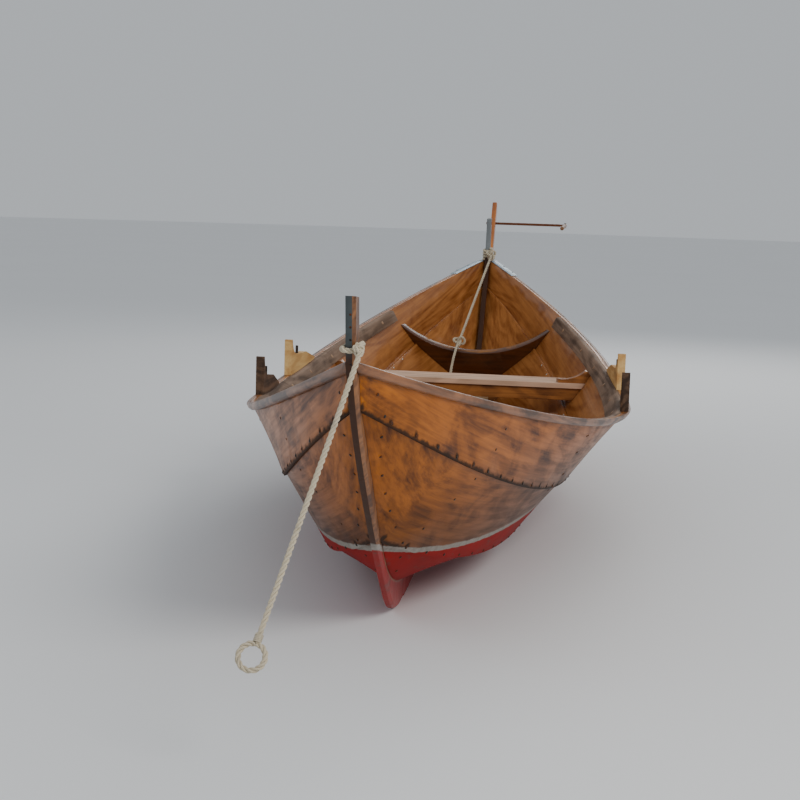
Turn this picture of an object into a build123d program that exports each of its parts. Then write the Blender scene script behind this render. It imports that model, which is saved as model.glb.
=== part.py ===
from build123d import *
import math
import os
from collections import namedtuple

# A double-ended, clinker-built wooden rowing boat with three broad strakes on each side.
# Millimetres. +X is port, +Y is aft (the bow is at -Y), +Z is up.
# The origin is on the underside of the keel, amidships.

# ---------------------------------------------------------------- driving dimensions
HALF_LENGTH = 2450  # from midships to the plank ends at the gunwale
CLEARANCE = 0.3  # between pieces that lie on each other
PLANK = 11  # thickness of every strake
LAP = 24  # how far a strake reaches up behind the one above it
END_X = 15  # half-breadth of every hull line where it meets a stem

BACKBONE = 24  # thickness of keel and stems
BACKBONE_RISE = 45  # keel and stem stand this far inside the garboard's edge
KEEL_HALF = 1300  # from midships to the scarf joints of keel and stems
KEEL_FLAT = 1400  # from midships to where the underside starts to rise
STEM_RAKE = 894  # how far the stem falls back from gunwale to keel
STEM_CURVE = 1.31
STEM_INSIDE = 75  # the stem's depth behind the plank ends
NOSE = 36  # the stem's depth ahead of the plank ends
NOSE_BEVEL = 8
LANDING = 40  # height at which the stem's curve meets the keel
BOW_POST = 165  # the post's height above the gunwale
STERN_POST = 225
POST_RAKE = 38  # how far a post leans out over its height
POST_DEPTH = 62

# Each hull line gives the outer lower edge of a strake, or the sheer. With w = |Y| / reach,
# half-breadth = beam * (1 - w**full)**hollow + END_X and height = low + (high - low) * w**sweep.
HullLine = namedtuple("HullLine", "beam bow_full stern_full hollow low bow_high stern_high sweep")
SHEER = HullLine(709, 1.58, 2.14, 1.0, 467, 859, 935, 1.68)
UPPER_LAP = HullLine(503, 1.96, 2.38, 0.85, 237, 727, 753, 2.19)
LOWER_LAP = HullLine(351, 2.36, 2.36, 0.90, 103, 303, 303, 3.94)
STRAIGHT = 0.97  # past this share of its reach a line runs on straight
KEEL_EDGE = 45  # height of the garboard's lower edge amidships
KEEL_EDGE_SWEEP = 7

SCARFS = {  # stations where each long piece is joined from shorter lengths
    "sheer": (-640, 860),
    "middle": (-900, 660),
    "garboard": (-480, 760),
    "outer_rail": (-1000, 520),
    "inner_rail": (-500, 560),
}
SCARF_LEAN = 60  # degrees from square across

STATION = 100  # spacing of the sections that the strakes are lofted through
OVERRUN = 12  # the strakes are lofted this far past their ends, then cut at the stem's side
END_EASE = 1.2  # extra room in a lap where it runs out at a stem

OUTER_RAIL = (19, 25)  # width and height
INNER_RAIL = (26, 50)
INNER_RAIL_HALF = 1596  # from midships to the inner rail's ends
RAIL_EASE = 6

FRAMES = (-800, 0, 920)  # stations of the three middle frames
FRAME = 36  # thickness of frames, floor timbers and crossbeams
BEAM_TOPS = (385, 325, 425)
BEAM_DEPTH = 55
THWART = 24
THWART_WIDTH = 220
KNEE = 32
KNEE_FOOT = 120
KNEE_HEAD = 34
FLOOR_HEIGHT = 150  # top of the middle floor timbers, where the floorboards lie
FLOOR_HALF = 235  # half the width of that flat top
FLOOR_ARM = 34

END_FRAME = 1600  # the end frames' forward faces at the gunwale, bow and stern alike
END_FRAME_LEAN = 30  # degrees; their heads lean towards midships
END_FRAME_DROP = 212  # from the gunwale down to the lowest point of the hollowed top
END_FRAME_HOLLOW = 520  # radius of the hollowed top
END_FRAME_DEPTH = 150
END_FLOOR = 1690  # stations of the small floor timbers in the ends
END_FLOOR_DEPTH = 120

BOARD = 14  # floorboard thickness
BOARD_GAP = 8
BOARD_COUNT = 4
BOARD_WIDTH = 106
STERN_BOARD_COUNT = 2
STERN_BOARD_WIDTH = 80

# Rowlock blocks stand on the gunwale. Their side view is given from the forward end.
BLOCK_STARTS = (-160, 390)
BLOCK_LENGTH = 340
BLOCK = 32
HORN = 150
HORN_TIP = 14
BLOCK_NOTCH = (86, 74)
BLOCK_SHOULDER = (215, 60)
BLOCK_END = 10
PEG_RADIUS = 6
PEG_AT = 124
PEG_PROUD = 34
PEG_DEPTH = 38

RUDDER = 26  # thickness
RUDDER_BOTTOM = 60
RUDDER_TOP = 1250
RUDDER_LEAD = 15  # the rudder's leading edge lies this far behind its hinge line
RUDDER_HEAD = 66  # the head's width, fore and aft
RUDDER_FOOT = 230
RUDDER_SWING = 35  # degrees each way
GUDGEON_HEIGHTS = (350, 800)
HINGE_OFFSET = 42  # from the chord between the gudgeons to the hinge line
PIN_RADIUS = 6
PIN_FIT = 0.06
PIN_PROUD = 8
EYE_RADIUS = 13
EYE_HEIGHT = 16
SHANK = 80
STRAP = 4
STRAP_LENGTH = 60
STRAP_HEIGHT = 22

ARM_RADIUS = 7
ARM_HEIGHT = 1127
ARM_REACH = 410  # from the rudder to the tiller's pivot
ARM_FLAT = 6  # half-thickness of its flattened end
KNOB_RADIUS = 14
TILLER_RADIUS = 10
TILLER_LENGTH = 1050
TILLER_FORK = 22
PIVOT_RADIUS = 4

PLATE = 4  # galvanised plates on the gunwale ends at the stern
PLATE_WIDTH = 34
PLATE_SPAN = (2205, 2425)

PLUG_AT = (262, 600)
PLUG_RADIUS = 12
PLUG_FIT = 0.1
PLUG_LENGTH = 34
PLUG_HEAD = (18, 8)  # radius and height

RIVET_SPACING = 115
RIVET = (5, 3, 2.2)  # base radius, top radius and height of a rivet head or rove
NAIL_SPACING = 60
NAIL = (4.5, 3, 2)
NAIL_INSET = 20

ROPE = 14  # diameter
BEND_SHARE = 0.45  # of the shorter run, for the radius of each bend
HITCH_HEIGHT = 902
HITCH_TURNS = 1
LASHING_HEIGHT = 975
LASHING_TURNS = 2
KNOT_RADIUS = 17
PAINTER_ROUTE = [
    (27, -2512, 900),
    (-12, -2604, 744),
    (-52, -2696, 590),
    (-91, -2789, 439),
    (-130, -2880, 290),
]
EYE_LOOP = 30  # mean radius of the eye at the painter's end
STERN_ROUTE = [
    (26, 2372, 960),
    (-22, 2100, 778),
    (-64, 1850, 612),
    (-85, 1740, 535),
    (-95, 1672, 500),
    (-105, 1618, 440),
    (-111, 1580, 368),
    (-108, 1532, 304),
    (-97, 1466, 274),
    (-84, 1396, 262),
    (-77, 1330, 250),
]
STERN_KNOT = (-85, 1742, 539)
STERN_KNOT_RADIUS = 27
COIL_AT = 1300  # station of the coil's middle, on the stern floorboards
COIL_RADIUS = 77
COIL_SECTION = 30

os.makedirs("parts", exist_ok=True)


# ---------------------------------------------------------------- hull geometry
def high_of(line, y):
    return line.bow_high if y < 0 else line.stern_high


def reach(height, y):
    """Distance from midships to the plank ends at a height, towards bow or stern."""
    top = high_of(SHEER, y)
    return HALF_LENGTH - STEM_RAKE * ((top - min(height, top)) / (top - LANDING)) ** STEM_CURVE


def line_reach(line, y):
    return reach(high_of(line, y), y)


def hull_point(line, y):
    """A hull line's point (half-breadth, height) at a station."""
    full = line.bow_full if y < 0 else line.stern_full
    w = abs(y) / line_reach(line, y)
    bent = min(w, STRAIGHT)
    taper = 1 - bent**full
    slope = line.beam * line.hollow * full * bent ** (full - 1) * taper ** (line.hollow - 1)
    x = line.beam * taper**line.hollow - slope * (w - bent) + END_X
    return Vector(x, line.low + (high_of(line, y) - line.low) * w**line.sweep)


def edge_height(y):
    """Height of the garboard's lower edge."""
    rise = high_of(LOWER_LAP, y) - KEEL_EDGE
    return KEEL_EDGE + rise * (abs(y) / line_reach(LOWER_LAP, y)) ** KEEL_EDGE_SWEEP


def end_ease(line, y):
    return END_EASE * min(1, abs(y) / line_reach(line, y)) ** 12


def inward(direction):
    return Vector(-direction.Y, direction.X)


def mitre(first, second):
    return (first + second) * (1 / (1 + first.dot(second)))


def at_height(point, direction, height):
    return point + direction * ((height - point.Y) / direction.Y)


def strakes(y):
    """Section of each strake at a station, and the frame-side outline of them all."""
    edge = Vector(0, edge_height(y))
    lower, upper, sheer = (hull_point(line, y) for line in (LOWER_LAP, UPPER_LAP, SHEER))
    u2 = (sheer - upper).normalized()
    n2 = inward(u2)
    bend1 = upper + n2 * (PLANK + CLEARANCE + end_ease(UPPER_LAP, y))
    top1 = bend1 + u2 * LAP
    u1 = (bend1 - lower).normalized()
    n1 = inward(u1)
    bend0 = lower + n1 * (PLANK + CLEARANCE + end_ease(LOWER_LAP, y))
    top0 = bend0 + u1 * LAP
    u0 = (bend0 - edge).normalized()
    n0 = inward(u0)
    gap = PLANK + CLEARANCE
    sheer_inside = at_height(sheer + n2 * PLANK, u2, sheer.Y)
    corner1, corner0 = bend1 + mitre(n1, n2) * PLANK, bend0 + mitre(n0, n1) * PLANK
    sections = {
        "sheer": [upper, sheer, sheer_inside, upper + n2 * PLANK],
        "middle": [lower, bend1, top1, top1 + n2 * PLANK, corner1, lower + n1 * PLANK],
        "garboard": [edge, bend0, top0, top0 + n1 * PLANK, corner0, edge + n0 * PLANK],
    }
    foot = edge + n0 * gap
    foot = foot + u0 * ((BACKBONE / 2 + CLEARANCE - foot.X) / u0.X)
    outline = [
        at_height(sheer + n2 * gap, u2, sheer.Y),
        top1 + u2 * CLEARANCE,
        top1 + u2 * CLEARANCE + n2 * gap,
        bend1 + mitre(n1, n2) * gap,
        top0 + u1 * CLEARANCE,
        top0 + u1 * CLEARANCE + n1 * gap,
        bend0 + mitre(n0, n1) * gap,
        foot,
        Vector(BACKBONE / 2 + CLEARANCE, backbone_top(y) + CLEARANCE),
        Vector(0, backbone_top(y) + CLEARANCE),
    ]
    return sections, outline


def backbone_top(y):
    return edge_height(y) + BACKBONE_RISE


def inside_point(y, height):
    """Point on the planking's inner side at a station and height."""
    outline = strakes(y)[1]
    for above, below in zip(outline, outline[1:]):
        if below.Y <= height <= above.Y and above.Y > below.Y:
            return at_height(below, above - below, height)
    raise ValueError(f"no planking at {y}, {height}")


def section_plane(y):
    return Plane.XZ.offset(-y)


def pairs(points):
    return [(p.X, p.Y) for p in points]


def across(points):
    """A port half-outline that starts or ends on the centreline, and its mirror image."""
    return pairs(points) + [(-x, z) for x, z in reversed(pairs(points)) if x]


def stations(end_bow, end_stern):
    spaced = range(-HALF_LENGTH + STATION // 2, HALF_LENGTH, STATION)
    return [-end_bow, *[y for y in spaced if -end_bow + 30 < y < end_stern - 30], end_stern]


pieces = {}


def finish(name, part):
    """Label a finished piece and write its file."""
    part.label = name
    pieces[name] = part
    export_step(part, f"parts/{name}.step")


def joined(lengths):
    """One piece that is made of lengths set end to end."""
    return lengths[0] if len(lengths) == 1 else Compound([length.solid() for length in lengths])


def finish_pair(name, *lengths):
    """Write a port piece, in one length or more, and its starboard mirror image."""
    finish(f"{name}_port", joined(lengths))
    others = []
    for length in lengths:
        with BuildPart() as other:
            mirror(length, about=Plane.YZ)
        others.append(other.part)
    finish(f"{name}_starboard", joined(others))


def scarfed(part, line, joints):
    """A long piece cut into lengths, with a leaning joint at each station, seen from above."""
    lean = math.radians(SCARF_LEAN)
    lengths = []
    for y in joints:
        cut = Plane(origin=(hull_point(line, y).X, y, 0), z_dir=(math.sin(lean), math.cos(lean), 0))
        with BuildPart() as length:
            add(part)
            split(bisect_by=cut, keep=Keep.BOTTOM)
        lengths.append(length.part)
        with BuildPart() as rest:
            add(part)
            split(bisect_by=cut, keep=Keep.TOP)
        part = rest.part
    return [*lengths, part]


# ---------------------------------------------------------------- planking
def strake(kind, upper_line):
    ends = (line_reach(upper_line, -1) + OVERRUN, line_reach(upper_line, 1) + OVERRUN)
    with BuildPart() as plank:
        for y in stations(*ends):
            with BuildSketch(section_plane(y)):
                with BuildLine():
                    Polyline(*pairs(strakes(y)[0][kind]), close=True)
                make_face()
        loft()
        split(bisect_by=Plane.YZ.offset(BACKBONE / 2 + CLEARANCE), keep=Keep.TOP)
    return plank.part


for kind, upper_line in (("sheer", SHEER), ("middle", UPPER_LAP), ("garboard", LOWER_LAP)):
    finish_pair(f"{kind}_strake", *scarfed(strake(kind, upper_line), upper_line, SCARFS[kind]))


# ---------------------------------------------------------------- backbone
def stem_points(end, setback, heights):
    """Points in side view that lie a distance inside the plank ends (negative: outside)."""
    return [(end * (reach(z, end) - setback), z) for z in heights]


def stem(end, post):
    """A stem with its post head, sawn from one slab. end is -1 at the bow and 1 at the stern."""
    gunwale = high_of(SHEER, end)
    nose_foot = (end * KEEL_FLAT, 0)
    scarf_foot = (end * KEEL_HALF, 0)
    scarf_head = (end * KEEL_HALF, backbone_top(KEEL_HALF * end))
    nose = stem_points(end, -NOSE, [110, 220, 340, 470, 600, 730, gunwale - 30])
    post_nose = (end * (HALF_LENGTH + NOSE + POST_RAKE), gunwale + post)
    post_back = (post_nose[0] - end * POST_DEPTH, gunwale + post - 6)
    inner_low = [(end * y, backbone_top(end * y)) for y in (1450, 1600, 1720)]
    inner_high = stem_points(end, STEM_INSIDE, [330, 450, 580, 710])
    with BuildPart() as slab:
        with BuildSketch(Plane.YZ):
            with BuildLine():
                Polyline(nose_foot, scarf_foot, scarf_head)
                Spline(nose_foot, *nose, post_nose, tangents=[(end, 0), (end * 0.2, 1)])
                Line(post_nose, post_back)
                leaving, arriving = (end, 0.1), (end * 0.15, 1)
                Spline(scarf_head, *inner_low, *inner_high, post_back, tangents=[leaving, arriving])
            make_face()
        extrude(amount=BACKBONE / 2, both=True)
        curved_faces = slab.faces().filter_by(GeomType.PLANE, reverse=True).sort_by(Axis.Y)
        nose_face = curved_faces[0 if end < 0 else -1]
        long_edges = nose_face.edges().filter_by(Axis.X, reverse=True)
        chamfer(long_edges, length=NOSE_BEVEL)
    return slab.part


with BuildPart() as keel:
    with BuildSketch(Plane.YZ):
        with BuildLine():
            tops = [(y, backbone_top(y)) for y in (-KEEL_HALF, -1000, -600, 0, 600, 1000, KEEL_HALF)]
            Polyline(tops[0], (-KEEL_HALF, 0), (KEEL_HALF, 0), tops[-1])
            Spline(*tops)
        make_face()
    extrude(amount=BACKBONE / 2, both=True)

finish("keel", keel.part)
finish("bow_stem", stem(-1, BOW_POST))


# ---------------------------------------------------------------- rails
def outer_rail_section(y):
    width, height = OUTER_RAIL
    sheer, low = hull_point(SHEER, y), hull_point(UPPER_LAP, y)
    slope = (sheer - low).normalized()
    gap = CLEARANCE / slope.Y

    def at(out, down):
        base = at_height(sheer, slope, sheer.Y - down)
        return (base.X + gap + out, base.Y)

    return [
        at(0, 0),
        at(width - RAIL_EASE, 0),
        at(width, RAIL_EASE),
        at(width, height - RAIL_EASE),
        at(width - RAIL_EASE, height),
        at(0, height),
    ]


def inner_rail_section(y):
    width, height = INNER_RAIL
    top, below = strakes(y)[1][:2]
    down = at_height(top, below - top, top.Y - height)
    return [
        (top.X, top.Y),
        (top.X - width + RAIL_EASE, top.Y),
        (top.X - width, top.Y - RAIL_EASE),
        (down.X - width, down.Y),
        (down.X, down.Y),
    ]


def rail(section, end_bow, end_stern):
    with BuildPart() as strip:
        for y in stations(end_bow, end_stern):
            with BuildSketch(section_plane(y)):
                with BuildLine():
                    Polyline(*section(y), close=True)
                make_face()
        loft()
        split(bisect_by=Plane.YZ.offset(BACKBONE / 2 + CLEARANCE), keep=Keep.TOP)
    return strip.part


outer_rail = rail(outer_rail_section, HALF_LENGTH + 50, HALF_LENGTH + 50)
finish_pair("outer_rail", *scarfed(outer_rail, SHEER, SCARFS["outer_rail"]))
inner_rail = rail(inner_rail_section, INNER_RAIL_HALF, INNER_RAIL_HALF)
finish_pair("inner_rail", *scarfed(inner_rail, SHEER, SCARFS["inner_rail"]))


# ---------------------------------------------------------------- frames and thwarts
def fitted(forward, aft, outline):
    """A piece between two stations whose outline, a function of the station, follows the hull."""
    with BuildPart() as piece:
        for y in (forward, aft):
            with BuildSketch(section_plane(y)):
                with BuildLine():
                    Polyline(*outline(y), close=True)
                make_face()
        loft(ruled=True)
    return piece.part


def floor_outline(y, arm_height):
    lower_side = [*reversed(strakes(y)[1][4:]), inside_point(y, arm_height)]
    arm = Vector(lower_side[-1].X - FLOOR_ARM, arm_height)
    return across([*lower_side, arm, Vector(FLOOR_HALF, FLOOR_HEIGHT)])


def end_floor_outline(y):
    top = end_floor_top(y)
    below = [corner for corner in reversed(strakes(y)[1]) if corner.Y < top]
    return across([*below, inside_point(y, top)])


def end_floor_top(y):
    return edge_height(math.copysign(END_FLOOR, y)) + END_FLOOR_DEPTH


def band(top, depth):
    """Outline of a straight piece from side to side, with its top at a height. Its ends clear a lap."""

    def outline(y):
        high, low = inside_point(y, top), inside_point(y, top - depth)
        laps = [corner for corner in strakes(y)[1] if low.Y < corner.Y < high.Y]
        excess = [at_height(low, high - low, corner.Y).X - corner.X for corner in laps]
        inset = Vector(max([0, *excess]), 0)
        return across([high - inset, low - inset])

    return outline


def beam(forward, aft, top, depth):
    """A straight piece from side to side between two stations, flat above and below."""
    spare = PLANK
    with BuildPart() as piece:
        add(fitted(forward, aft, band(top + spare, depth + 2 * spare)))
        split(bisect_by=Plane.XY.offset(top), keep=Keep.BOTTOM)
        split(bisect_by=Plane.XY.offset(top - depth), keep=Keep.TOP)
    return piece.part


def knee_outline(y, seat, head_height):
    """Heel, foot, head, crown and toe of a knee: its corners from the seat's inner end round."""
    foot, head = inside_point(y, seat).X, inside_point(y, head_height).X
    heel, toe = (foot - KNEE_FOOT, seat), (foot - KNEE_FOOT, seat + KNEE_HEAD / 2)
    return heel, (foot, seat), (head, head_height), (head - KNEE_HEAD, head_height), toe


def knee(y, seat):
    with BuildPart() as piece:
        for side in (y - KNEE / 2, y + KNEE / 2):
            head_height = hull_point(SHEER, side).Y - INNER_RAIL[1] - CLEARANCE
            heel, foot, head, crown, toe = knee_outline(side, seat, head_height)
            with BuildSketch(section_plane(side)):
                with BuildLine():
                    Polyline(toe, heel, foot, head, crown)
                    hollow = ((crown[0] * 2 + toe[0]) / 3, (crown[1] + toe[1] * 2) / 3)
                    ThreePointArc(crown, hollow, toe)
                make_face()
        loft(ruled=True)
    return piece.part


for place, y, top in zip(("forward", "middle", "aft"), FRAMES, BEAM_TOPS):
    half = FRAME / 2
    ledge = strakes(y)[1][3].Y
    arm_height = ledge - CLEARANCE - 8
    finish(f"{place}_floor_timber", fitted(y - half, y + half, lambda at: floor_outline(at, arm_height)))
    finish(f"{place}_crossbeam", beam(y - half, y + half, top, BEAM_DEPTH))
    seat = top + CLEARANCE + THWART
    front = y - half - 12
    finish(f"{place}_thwart", beam(front, front + THWART_WIDTH, seat, THWART))
    port_knee = knee(y, seat + CLEARANCE)
    with BuildPart() as knees:
        add(port_knee)
        mirror(port_knee, about=Plane.YZ)
    finish(f"{place}_knees", knees.part)


def end_frame(end):
    """A leaning frame with a hollowed top. Its face towards midships meets the gunwale at END_FRAME."""
    lean = math.radians(END_FRAME_LEAN)
    gunwale = hull_point(SHEER, end * END_FRAME).Y
    up = Vector(0, -end * math.sin(lean), math.cos(lean))
    face = Plane(
        origin=(0, end * END_FRAME, gunwale),
        x_dir=(1, 0, 0),
        z_dir=(0, -math.cos(lean), -end * math.sin(lean)),
    )
    bottom = gunwale - END_FRAME_DROP - END_FRAME_DEPTH * math.cos(lean)

    def station(height, behind):
        return end * (END_FRAME + behind / math.cos(lean) + (gunwale - height) * math.tan(lean))

    def corner(index, behind):
        height = gunwale
        for _ in range(40):
            height = strakes(station(height, behind))[1][index].Y
        y = station(height, behind)
        return y, strakes(y)[1][index]

    def between(above, below, behind):
        """Points on one strake's inner side, between two heights."""
        heights = [above + (below - above) * step / 4 for step in (1, 2, 3)]
        return [(station(h, behind), inside_point(station(h, behind), h)) for h in heights]

    with BuildPart() as frame:
        for behind in (0, FRAME):
            plane = face.offset(-end * behind)
            head, ledge_top, ledge, under = (corner(index, behind) for index in range(4))
            foot = (station(bottom, behind), inside_point(station(bottom, behind), bottom))
            corners = [head, *between(head[1].Y, ledge_top[1].Y, behind), ledge_top]
            corners += [ledge, under, *between(under[1].Y, bottom, behind), foot]
            rises = [(Vector(0, y, p.Y) - plane.origin).dot(up) for y, p in corners]
            local = [Vector(p.X - CLEARANCE, rise) for (y, p), rise in zip(corners, rises)]
            with BuildSketch(plane):
                with BuildLine():
                    Polyline(*across(local), close=True)
                make_face()
        loft(ruled=True)
        with BuildSketch(face):
            with Locations((0, END_FRAME_HOLLOW - END_FRAME_DROP / math.cos(lean))):
                Circle(END_FRAME_HOLLOW)
        extrude(amount=3 * FRAME, both=True, mode=Mode.SUBTRACT)
    return frame.part


for place, end in (("bow", -1), ("stern", 1)):
    finish(f"{place}_frame", end_frame(end))
    middle = end * END_FLOOR
    finish(f"{place}_floor_timber", fitted(middle - FRAME / 2, middle + FRAME / 2, end_floor_outline))


# ---------------------------------------------------------------- floorboards
def floorboards(start, stop, count, width):
    """Boards side by side. start and stop are (station, height) of their undersides."""
    run = Vector(0, stop[0] - start[0], stop[1] - start[1])
    plane = Plane(origin=(0, *start), x_dir=(1, 0, 0), z_dir=Vector(1, 0, 0).cross(run))
    with BuildPart() as boards:
        with BuildSketch(plane):
            with GridLocations(width + BOARD_GAP, 0, count, 1):
                Rectangle(width, run.length, align=(Align.CENTER, Align.MIN))
        extrude(amount=BOARD)
    return boards.part


board_base = FLOOR_HEIGHT + CLEARANCE
finish(
    "forward_floorboards",
    floorboards((FRAMES[0] - FRAME / 2, board_base), (FRAMES[1] - 1, board_base), BOARD_COUNT, BOARD_WIDTH),
)
finish(
    "aft_floorboards",
    floorboards((FRAMES[1] + 1, board_base), (FRAMES[2], board_base), BOARD_COUNT, BOARD_WIDTH),
)
stern_start = FRAMES[2] + 4
stern_rest = END_FLOOR - FRAME / 2
stern_slope = (end_floor_top(1) + CLEARANCE - board_base) / (stern_rest - stern_start)
stern_stop = (stern_rest + FRAME, board_base + stern_slope * (stern_rest + FRAME - stern_start))
finish(
    "stern_floorboards",
    floorboards((stern_start, board_base), stern_stop, STERN_BOARD_COUNT, STERN_BOARD_WIDTH),
)


# ---------------------------------------------------------------- rowlock blocks
def block_plane(start):
    """Side view of a port block: x runs aft along the gunwale's middle, y runs up from the keel."""
    ends = [hull_point(SHEER, y) for y in (start, start + BLOCK_LENGTH)]
    middle = PLANK / 2
    run = Vector(ends[1].X - ends[0].X, BLOCK_LENGTH, 0)
    return Plane(origin=(ends[0].X - middle, start, 0), x_dir=run, z_dir=run.cross(Vector(0, 0, 1)))


def gunwale_height(start, along):
    return hull_point(SHEER, start + along).Y + CLEARANCE


def rowlock_block(start):
    def up(along, rise):
        return (along, gunwale_height(start, along) + rise)

    with BuildPart() as block:
        with BuildSketch(block_plane(start)):
            with BuildLine():
                seat = [up(BLOCK_LENGTH * share, 0) for share in (0, 0.25, 0.5, 0.75, 1)]
                Spline(*seat)
                Polyline(seat[0], up(0, HORN), up(HORN_TIP, HORN))
                ThreePointArc(up(HORN_TIP, HORN), up(HORN_TIP + 22, HORN * 0.66), up(*BLOCK_NOTCH))
                Polyline(up(*BLOCK_NOTCH), up(*BLOCK_SHOULDER), up(BLOCK_LENGTH, BLOCK_END), seat[-1])
            make_face()
        extrude(amount=BLOCK / 2, both=True)
        with Locations(peg_location(start)):
            Cylinder(PEG_RADIUS + CLEARANCE, PEG_DEPTH * 2, mode=Mode.SUBTRACT)
    return block.part


def peg_location(start):
    """Where the peg leaves the block, with z along the peg."""
    share = (PEG_AT - BLOCK_NOTCH[0]) / (BLOCK_SHOULDER[0] - BLOCK_NOTCH[0])
    rise = BLOCK_NOTCH[1] + share * (BLOCK_SHOULDER[1] - BLOCK_NOTCH[1])
    place = block_plane(start).from_local_coords(Vector(PEG_AT, gunwale_height(start, PEG_AT) + rise, 0))
    return Location(place)


def peg(start):
    with BuildPart() as pin:
        with Locations(peg_location(start)):
            with Locations((0, 0, CLEARANCE - PEG_DEPTH)):
                Cylinder(PEG_RADIUS, PEG_DEPTH + PEG_PROUD, align=(Align.CENTER, Align.CENTER, Align.MIN))
        chamfer(pin.edges().group_by(Axis.Z)[-1], length=2)
    return pin.part


for place, start in zip(("forward", "aft"), BLOCK_STARTS):
    finish_pair(f"{place}_rowlock_block", rowlock_block(start))

with BuildPart() as pegs:
    for start in BLOCK_STARTS:
        port_peg = peg(start)
        add(port_peg)
        mirror(port_peg, about=Plane.YZ)
finish("rowlock_pegs", pegs.part)


# ---------------------------------------------------------------- rudder and its fittings
def nose_at(height):
    return Vector(0, reach(height, 1) + NOSE, height)


low_eye, high_eye = (nose_at(height) for height in GUDGEON_HEIGHTS)
hinge_run = (high_eye - low_eye).normalized()
behind_hinge = Vector(0, hinge_run.Z, -hinge_run.Y)
hinge_foot = low_eye + behind_hinge * HINGE_OFFSET
# Side view of the rudder: x runs aft from the hinge line, y runs up along it.
rudder_plane = Plane(origin=hinge_foot, x_dir=behind_hinge, z_dir=(1, 0, 0))
eye_places = (0, (high_eye - low_eye).length)


def along_hinge(behind, height):
    """Distance along the hinge line of a point at a height, a distance behind the line."""
    return (height - hinge_foot.Z - behind * behind_hinge.Z) / hinge_run.Z


def across_hinge(along):
    """Plane square to the hinge line: x runs to port, y runs aft and z runs up the line."""
    return Plane(origin=hinge_foot + hinge_run * along, x_dir=(1, 0, 0), z_dir=hinge_run)


head_back = RUDDER_LEAD + RUDDER_HEAD
arm_centre = (RUDDER_LEAD + RUDDER_HEAD / 2, along_hinge(RUDDER_LEAD + RUDDER_HEAD / 2, ARM_HEIGHT))
rudder_top = along_hinge(RUDDER_LEAD, RUDDER_TOP)

with BuildPart() as rudder:
    with BuildSketch(rudder_plane):
        with BuildLine():
            toe = (RUDDER_LEAD, along_hinge(RUDDER_LEAD, RUDDER_BOTTOM))
            heel = (RUDDER_FOOT, along_hinge(RUDDER_FOOT, RUDDER_BOTTOM))
            neck = (head_back, rudder_top - 340)
            Polyline(heel, toe, (RUDDER_LEAD, rudder_top), (head_back, rudder_top), neck)
            shoulder = (head_back + 26, neck[1] - 260)
            Spline(neck, shoulder, (RUDDER_FOOT - 34, heel[1] + 300), heel, tangents=[(0, -1), (0.1, -1)])
        make_face()
    extrude(amount=RUDDER / 2, both=True)
    chamfer(rudder.faces().sort_by(Axis.Z)[-1].edges(), length=4)
    with BuildSketch(rudder_plane):
        with Locations(arm_centre):
            Circle(ARM_RADIUS + CLEARANCE)
    extrude(amount=RUDDER, both=True, mode=Mode.SUBTRACT)
finish("rudder", rudder.part)

with BuildPart() as gudgeons:
    for along in eye_places:
        with BuildSketch(across_hinge(along)):
            Circle(EYE_RADIUS)
        extrude(amount=EYE_HEIGHT / 2, both=True)
        with BuildSketch(Plane(across_hinge(along).origin, x_dir=(1, 0, 0), z_dir=-behind_hinge)):
            Circle(PIN_RADIUS)
        extrude(amount=SHANK)
        with BuildSketch(across_hinge(along)):
            Circle(PIN_RADIUS + PIN_FIT)
        extrude(amount=EYE_HEIGHT, both=True, mode=Mode.SUBTRACT)
finish("gudgeons", gudgeons.part)

with BuildPart() as stern_stem:
    add(stem(1, STERN_POST))
    for along in eye_places:
        with BuildSketch(Plane(across_hinge(along).origin, x_dir=(1, 0, 0), z_dir=-behind_hinge)):
            Circle(PIN_RADIUS + CLEARANCE)
        extrude(amount=SHANK + 1, mode=Mode.SUBTRACT)
finish("stern_stem", stern_stem.part)

with BuildPart() as pintles:
    for along in eye_places:
        strap_foot = across_hinge(along + EYE_HEIGHT / 2 + CLEARANCE)
        with BuildSketch(strap_foot):
            Circle(RUDDER / 2 + CLEARANCE + STRAP)
            with Locations((0, STRAP_LENGTH / 2)):
                Rectangle(RUDDER + 2 * (CLEARANCE + STRAP), STRAP_LENGTH)
            with Locations((0, RUDDER_LEAD - CLEARANCE)):
                slot = (Align.CENTER, Align.MIN)
                Rectangle(RUDDER + 2 * CLEARANCE, STRAP_LENGTH, align=slot, mode=Mode.SUBTRACT)
        extrude(amount=STRAP_HEIGHT)
        with BuildSketch(strap_foot):
            Circle(PIN_RADIUS)
        extrude(amount=-EYE_HEIGHT - PIN_PROUD)
finish("pintles", pintles.part)

arm_point = rudder_plane.from_local_coords(Vector(*arm_centre, 0))
pivot = Vector(ARM_REACH, arm_point.Y, arm_point.Z)

arm_start = -RUDDER / 2 - KNOB_RADIUS

with BuildPart() as tiller_arm:
    with Locations(Location((arm_start, arm_point.Y, arm_point.Z), (0, 90, 0))):
        onward = (Align.CENTER, Align.CENTER, Align.MIN)
        Cylinder(ARM_RADIUS, ARM_REACH + ARM_RADIUS - arm_start, align=onward)
        Sphere(KNOB_RADIUS)
    for side in (1, -1):
        with Locations(pivot + Vector(-ARM_RADIUS * 4, 0, side * (ARM_FLAT + ARM_RADIUS))):
            corner = (Align.MIN, Align.CENTER, Align.CENTER)
            Box(ARM_RADIUS * 6, ARM_RADIUS * 3, ARM_RADIUS * 2, align=corner, mode=Mode.SUBTRACT)
    with Locations(pivot):
        Cylinder(PIVOT_RADIUS + PIN_FIT, ARM_RADIUS * 4, mode=Mode.SUBTRACT)
finish("tiller_arm", tiller_arm.part)

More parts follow.
